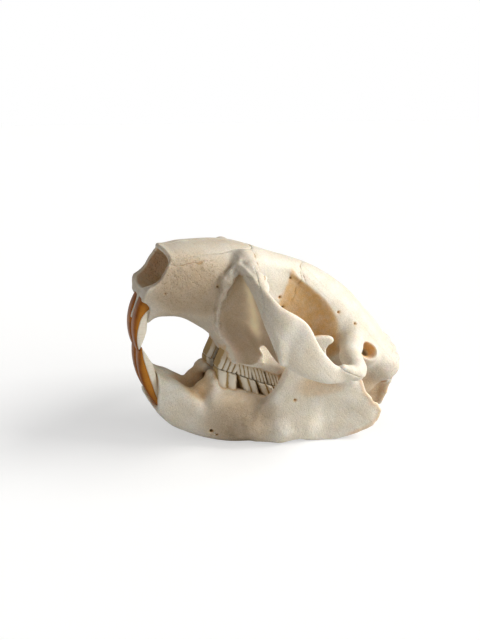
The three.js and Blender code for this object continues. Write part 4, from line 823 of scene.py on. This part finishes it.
def incisor_enamel_material():
    """Beaver incisor enamel, hardened with iron: glossy orange-brown with darker blotches and faint growth
    lines about 0.7 mm apart across the tooth, and a paler painted highlight along its sides."""
    material, tree = new_tree("iron_rich_incisor_enamel")
    place = add(tree, "ShaderNodeTexCoord").outputs["Object"]
    length, edge = (add(tree, "ShaderNodeAttribute", {"attribute_name": name}).outputs["Fac"]
                    for name in ("length", "edge"))
    lines = add(tree, "ShaderNodeTexNoise", {"noise_dimensions": "1D", "Scale": 1.4, "Detail": 3},
                {"W": length}).outputs[0]
    blotch = add(tree, "ShaderNodeTexNoise", {"Scale": 1000 / 4, "Detail": 3}, {"Vector": place}).outputs[0]
    tone = add(tree, "ShaderNodeMapRange", {"From Min": 0.3, "From Max": 0.7}, {"Value": blotch}).outputs[0]
    faint = add(tree, "ShaderNodeMapRange", {"From Min": 0.45, "From Max": 0.7, "To Max": 0.35},
                {"Value": lines})
    # A paler painted highlight along the enamel's side edges.
    painted_side_highlight = add(tree, "ShaderNodeMath", {"operation": "MULTIPLY", 1: 0.5}, {0: edge}).outputs[0]
    colour = add(tree, "ShaderNodeMix", {"data_type": "RGBA", 6: linear("b86a06"), 7: linear("965202")},
                 {0: tone}).outputs[2]
    for share, over in ((faint.outputs[0], "6b3606"), (painted_side_highlight, "c98a30")):
        colour = add(tree, "ShaderNodeMix", {"data_type": "RGBA", 7: linear(over)},
                     {0: share, 6: colour}).outputs[2]
    ridged = add(tree, "ShaderNodeBump", {"Strength": 0.3, "Distance": 0.1 * MM}, {"Height": lines})
    shader = add(tree, "ShaderNodeBsdfPrincipled",
                 {"Roughness": 0.28, "IOR": 1.5, "Specular IOR Level": 0.25, "Subsurface Weight": 0.05,
                  "Subsurface Radius": (0.0008, 0.0004, 0.0001), "Subsurface Scale": 1.0},
                 {"Base Color": colour, "Normal": ridged.outputs[0]})
    add(tree, "ShaderNodeOutputMaterial", None, {"Surface": shader.outputs["BSDF"]})
    return material


def dentine_material():
    """Dentine, the softer cream body of a tooth: satin, slightly see-through, with growth lines 0.6 mm apart
    and brown stain where it leaves its socket."""
    material, tree = new_tree("tooth_dentine")
    length, stain_and_shade = (add(tree, "ShaderNodeAttribute", {"attribute_name": name}).outputs["Fac"]
                     for name in ("length", "stain_and_shade"))
    lines = add(tree, "ShaderNodeTexNoise", {"noise_dimensions": "1D", "Scale": 1.7, "Detail": 2},
                {"W": length}).outputs[0]
    faint = add(tree, "ShaderNodeMapRange", {"From Min": 0.4, "From Max": 0.7, "To Max": 0.4},
                {"Value": lines})
    colour = add(tree, "ShaderNodeMix", {"data_type": "RGBA", 6: linear("f3ecdb"), 7: linear("d9cbab")},
                 {0: faint.outputs[0]}).outputs[2]
    colour = add(tree, "ShaderNodeMix", {"data_type": "RGBA", 7: linear("a9803f")},
                 {0: stain_and_shade, 6: colour}).outputs[2]
    lined = add(tree, "ShaderNodeBump", {"Strength": 0.25, "Distance": 0.1 * MM}, {"Height": lines})
    shader = add(tree, "ShaderNodeBsdfPrincipled",
                 {"Roughness": 0.36, "IOR": 1.54, "Subsurface Weight": 0.15,
                  "Subsurface Radius": (0.0015, 0.0009, 0.0005), "Subsurface Scale": 1.0},
                 {"Base Color": colour, "Normal": lined.outputs[0]})
    add(tree, "ShaderNodeOutputMaterial", None, {"Surface": shader.outputs["BSDF"]})
    return material


def cheek_tooth_material():
    """Cheek teeth: pale, worn enamel on the ribs and brown cement packed in the folds between them."""
    material, tree = new_tree("ribbed_cheek_tooth_enamel")
    place = add(tree, "ShaderNodeTexCoord").outputs["Object"]
    fold, stain_and_shade = (add(tree, "ShaderNodeAttribute", {"attribute_name": name}).outputs["Fac"]
                   for name in ("fold", "stain_and_shade"))
    speck = add(tree, "ShaderNodeTexNoise", {"Scale": 1000 / 1.2, "Detail": 4}, {"Vector": place}).outputs[0]
    uneven = add(tree, "ShaderNodeMath", {"operation": "MULTIPLY_ADD", 1: 0.7, 2: -0.35},
                 {0: speck}).outputs[0]
    packed = add(tree, "ShaderNodeMath", {"operation": "ADD"}, {0: fold, 1: uneven}).outputs[0]
    cement = add(tree, "ShaderNodeMapRange",
                 {"interpolation_type": "SMOOTHSTEP", "From Min": 0.4, "From Max": 0.85},
                 {"Value": packed}).outputs[0]
    colour = add(tree, "ShaderNodeMix", {"data_type": "RGBA", 6: linear("efe6d3"), 7: linear("b39560")},
                 {0: cement}).outputs[2]
    colour = add(tree, "ShaderNodeMix", {"data_type": "RGBA", 7: linear("bd9a62")},
                 {0: stain_and_shade, 6: colour}).outputs[2]
    roughness = add(tree, "ShaderNodeMapRange", {"To Min": 0.28, "To Max": 0.7}, {"Value": cement}).outputs[0]
    bumpy = add(tree, "ShaderNodeBump", {"Strength": 0.4, "Distance": 0.2 * MM}, {"Height": speck})
    shader = add(tree, "ShaderNodeBsdfPrincipled", {"IOR": 1.6},
                 {"Base Color": colour, "Roughness": roughness, "Normal": bumpy.outputs[0]})
    add(tree, "ShaderNodeOutputMaterial", None, {"Surface": shader.outputs["BSDF"]})
    return material


BONE = bone_material()
ENAMEL = incisor_enamel_material()
DENTINE = dentine_material()
CHEEK_TOOTH = cheek_tooth_material()


def left_and_right(points, quads):
    """The piece and its mirror image, whose quads run the other way round, so that they face outwards too."""
    for side, sign in (("left", 1), ("right", -1)):
        yield side, points * np.array([sign, 1, 1]), quads[:, ::sign]


# ---- the bones -------------------------------------------------------------------------------------------
block = Block((0, -76, 24), (53, 68, 87), CRANIUM_STEP)
whole = cranium_side(block.x, block.y, block.z)
whole = carve(whole, upper_incisor(block.x, block.y, block.z) - SEAM, 0.1)
nasal = nasal_space(block.x, block.y, block.z)
jugal = jugal_space(block.x, block.y, block.z)
middle_low = block.low - np.array([CRANIUM_STEP * (whole.shape[0] - 1), 0, 0], np.float32)
relief = Relief(both_sides(whole), middle_low, CRANIUM_STEP)


def add_head_bone(name, points, quads, node):
    marks = cranium_marks(points) | relief.marks(points)
    knobs = marks.pop("knobs")
    # No painted shade in the hollows of the lit window.
    marks["hollow"] *= 1 - marks.pop("lit_window")
    heave = 0.09 * marks["pits"] * lumps(points, 1.7, 5) + 0.7 * knobs * lumps(points, 2.2, 7)
    heave += 0.1 * lumps(points, 6, 9) - 0.2 * ramp(marks["seam"], 0.55, 0.95)
    make_piece(name, points, quads, BONE, node, marks, heave)


field = carve(carve(whole, nasal - SEAM, 0.1), jugal - SEAM, 0.1)
points, quads = surface(both_sides(field), middle_low, CRANIUM_STEP)
add_head_bone("cranium_bone", points, quads, "cranium")
for bone, space, lap in (("nasal", nasal, NASAL_LAP), ("jugal", jugal, JUGAL_LAP)):
    field = common(common(whole, space - lap, 0.1), SEAM - block.x, 0.1)
    points, quads = surface(field, block.low, CRANIUM_STEP)
    for side, placed, turned in left_and_right(points, quads):
        add_head_bone(f"{bone}_bone_{side}", placed, turned, f"{bone}_{side}")

block = Block((0, -53, -2), (43, 60, 54), JAW_STEP)
field = jaw_side(block.x, block.y, block.z)
s, t = pitched(block.y, block.z)
field = carve(field, lower_incisor(block.x, s, t) - SEAM, 0.3)
field = common(field, -block.z, 0.3)
relief = Relief(field, block.low, JAW_STEP)
points, quads = surface(field, block.low, JAW_STEP)
marks = jaw_marks(points) | relief.marks(points)
rim = marks.pop("knobs")
heave = 0.15 * marks["pits"] * lumps(points, 1.8, 11) + 0.09 * lumps(points, 6.5, 13)
heave += 0.28 * rim * lumps(points, 2.2, 15)
heave *= ramp(points[:, 2], 0.1, 1.5)
for side, placed, turned in left_and_right(points, quads):
    make_piece(f"jaw_bone_{side}", placed, turned, BONE, f"mandible_{side}", marks, heave,
               in_cranium_frame=False)

# ---- the teeth -------------------------------------------------------------------------------------------
for jaw, low, high, tooth, arc, enamel_edge in (
        ("upper", (-1, -74, 20), (10, -60, 51), upper_incisor, UPPER_ARC, upper_enamel_edge),
        ("lower", (-1, -68, -8), (10, -38, 29), lower_incisor, LOWER_ARC, lower_enamel_edge)):
    block = Block(low, high, TOOTH_STEP)
    field = tooth(block.x, block.y, block.z)
    front = enamel_edge(block.z) - reach_from(arc, block.y, block.z)
    for part, half, material in (
            ("enamel", common(field, front + SEAM, 0.2), ENAMEL),
            ("dentine", common(field + ENAMEL_PROUD, SEAM - front, 0.2), DENTINE)):
        points, quads = surface(half, block.low, TOOTH_STEP)
        x, s, t = points.T
        length = np.arctan2(t - arc["t"], arc["s"] - s) * arc["outer"]
        # The side edges carry the enamel's painted highlight.
        side_edge = ramp(np.abs(x - INCISOR_CORE), INCISOR_HALF - 0.9, INCISOR_HALF)
        gum = ramp(length, 2, 5) if jaw == "upper" else ramp(length, -24, -28)
        marks = {"length": length, "edge": side_edge, "stain_and_shade": 0.35 * gum}
        for side, placed, turned in left_and_right(points, quads):
            make_piece(f"{jaw}_incisor_{part}_{side}", placed, turned, material, f"{jaw}_incisor_{side}",
                       marks)

for jaw, sizes, row_x, ribs, low, high, node in (
        ("upper", UPPER_TEETH, upper_row_x, 4, OCCLUSAL_T + SEAM, 36, "cranium"),
        ("lower", LOWER_TEETH, lower_row_x, 2, 13, OCCLUSAL_T - SEAM, "mandible")):
    block = Block((2, -31, low - 1), (20, 16, high + 1), TOOTH_STEP)
    field, _ = cheek_tooth_row(block.x, block.y, block.z, sizes, row_x, ribs, low, high)
    points, quads = surface(field, block.low, TOOTH_STEP)
    x, s, t = points.T
    _, along = cheek_tooth_row(x, s, t, sizes, row_x, ribs, low, high)
    necks = ramp(t, 29, 32) if jaw == "upper" else ramp(t, 21, 17)
    marks = {"fold": fold_depth(along, ribs), "stain_and_shade": 0.5 * necks}
    for side, placed, turned in left_and_right(points, quads):
        make_piece(f"{jaw}_cheek_teeth_{side}", placed, turned, CHEEK_TOOTH,
                   node if jaw == "upper" else f"{node}_{side}", marks)


# ---- floor, light and camera -------------------------------------------------------------------------------
def stage_floor():
    """White paper. The camera sees it lifted by a glow of its own, which lights nothing else."""
    mesh = bpy.data.meshes.new("floor")
    far = FLOOR_REACH
    corners = [(-far, -far, 0), (far, -far, 0), (far, far, 0), (-far, far, 0)]
    mesh.from_pydata(corners, [], [(0, 1, 2, 3)])
    floor = bpy.data.objects.new("floor", mesh)
    bpy.context.scene.collection.objects.link(floor)
    material, tree = new_tree("matt_white_paper")
    seen = add(tree, "ShaderNodeLightPath").outputs["Is Camera Ray"]
    white = add(tree, "ShaderNodeMapRange", {"To Min": 0.62, "To Max": 0.53}, {"Value": seen}).outputs[0]
    lit = add(tree, "ShaderNodeBsdfDiffuse", None, {"Color": white})
    glow = add(tree, "ShaderNodeMath", {"operation": "MULTIPLY", 1: 0.52}, {0: seen})
    glowing = add(tree, "ShaderNodeEmission", None, {"Strength": glow.outputs[0]})
    both = add(tree, "ShaderNodeAddShader", None, {0: lit.outputs[0], 1: glowing.outputs[0]})
    add(tree, "ShaderNodeOutputMaterial", None, {"Surface": both.outputs[0]})
    mesh.materials.append(material)


def soft_sun(name, towards, strength, spread, colour):
    light = bpy.data.lights.new(name, "SUN")
    light.energy = strength
    light.angle = math.radians(spread)
    light.color = colour
    lamp = bpy.data.objects.new(name, light)
    lamp.rotation_euler = Vector(towards).to_track_quat("Z", "Y").to_euler()
    bpy.context.scene.collection.objects.link(lamp)


def studio_world():
    """As white as the floor behind the object, and dim for the light that falls on it."""
    world = bpy.data.worlds.new("studio")
    world.use_nodes = True
    tree = world.node_tree
    tree.nodes.clear()
    seen = add(tree, "ShaderNodeLightPath").outputs["Is Camera Ray"]
    strength = add(tree, "ShaderNodeMapRange", {"To Min": 0.22, "To Max": 1.0}, {"Value": seen}).outputs[0]
    sky = add(tree, "ShaderNodeBackground", {"Color": (1, 1, 1, 1)}, {"Strength": strength})
    add(tree, "ShaderNodeOutputWorld", None, {"Surface": sky.outputs[0]})
    bpy.context.scene.world = world


stage_floor()
soft_sun("key", (0.22, 0.72, 0.65), 2.6, 30, (1.0, 0.99, 0.965))
soft_sun("side", (0.62, 0.74, 0.24), 1.7, 50, (1.0, 0.98, 0.94))
soft_sun("fill", (0.5, -0.8, 0.3), 0.3, 60, (1.0, 0.99, 0.97))
studio_world()
bpy.context.scene.view_settings.view_transform = "Standard"

camera_data = bpy.data.cameras.new("camera")
camera_data.lens = FOCAL_LENGTH
camera_data.sensor_width = SENSOR
camera = bpy.data.objects.new("camera", camera_data)
bpy.context.scene.collection.objects.link(camera)
back = Vector((math.sin(CAMERA_AZIMUTH) * math.cos(CAMERA_HEIGHT),
               -math.cos(CAMERA_AZIMUTH) * math.cos(CAMERA_HEIGHT), math.sin(CAMERA_HEIGHT)))
camera.location = (Vector(AIM) + back * CAMERA_DISTANCE) * MM
camera.rotation_euler = (-back).to_track_quat("-Z", "Y").to_euler()
bpy.context.scene.camera = camera
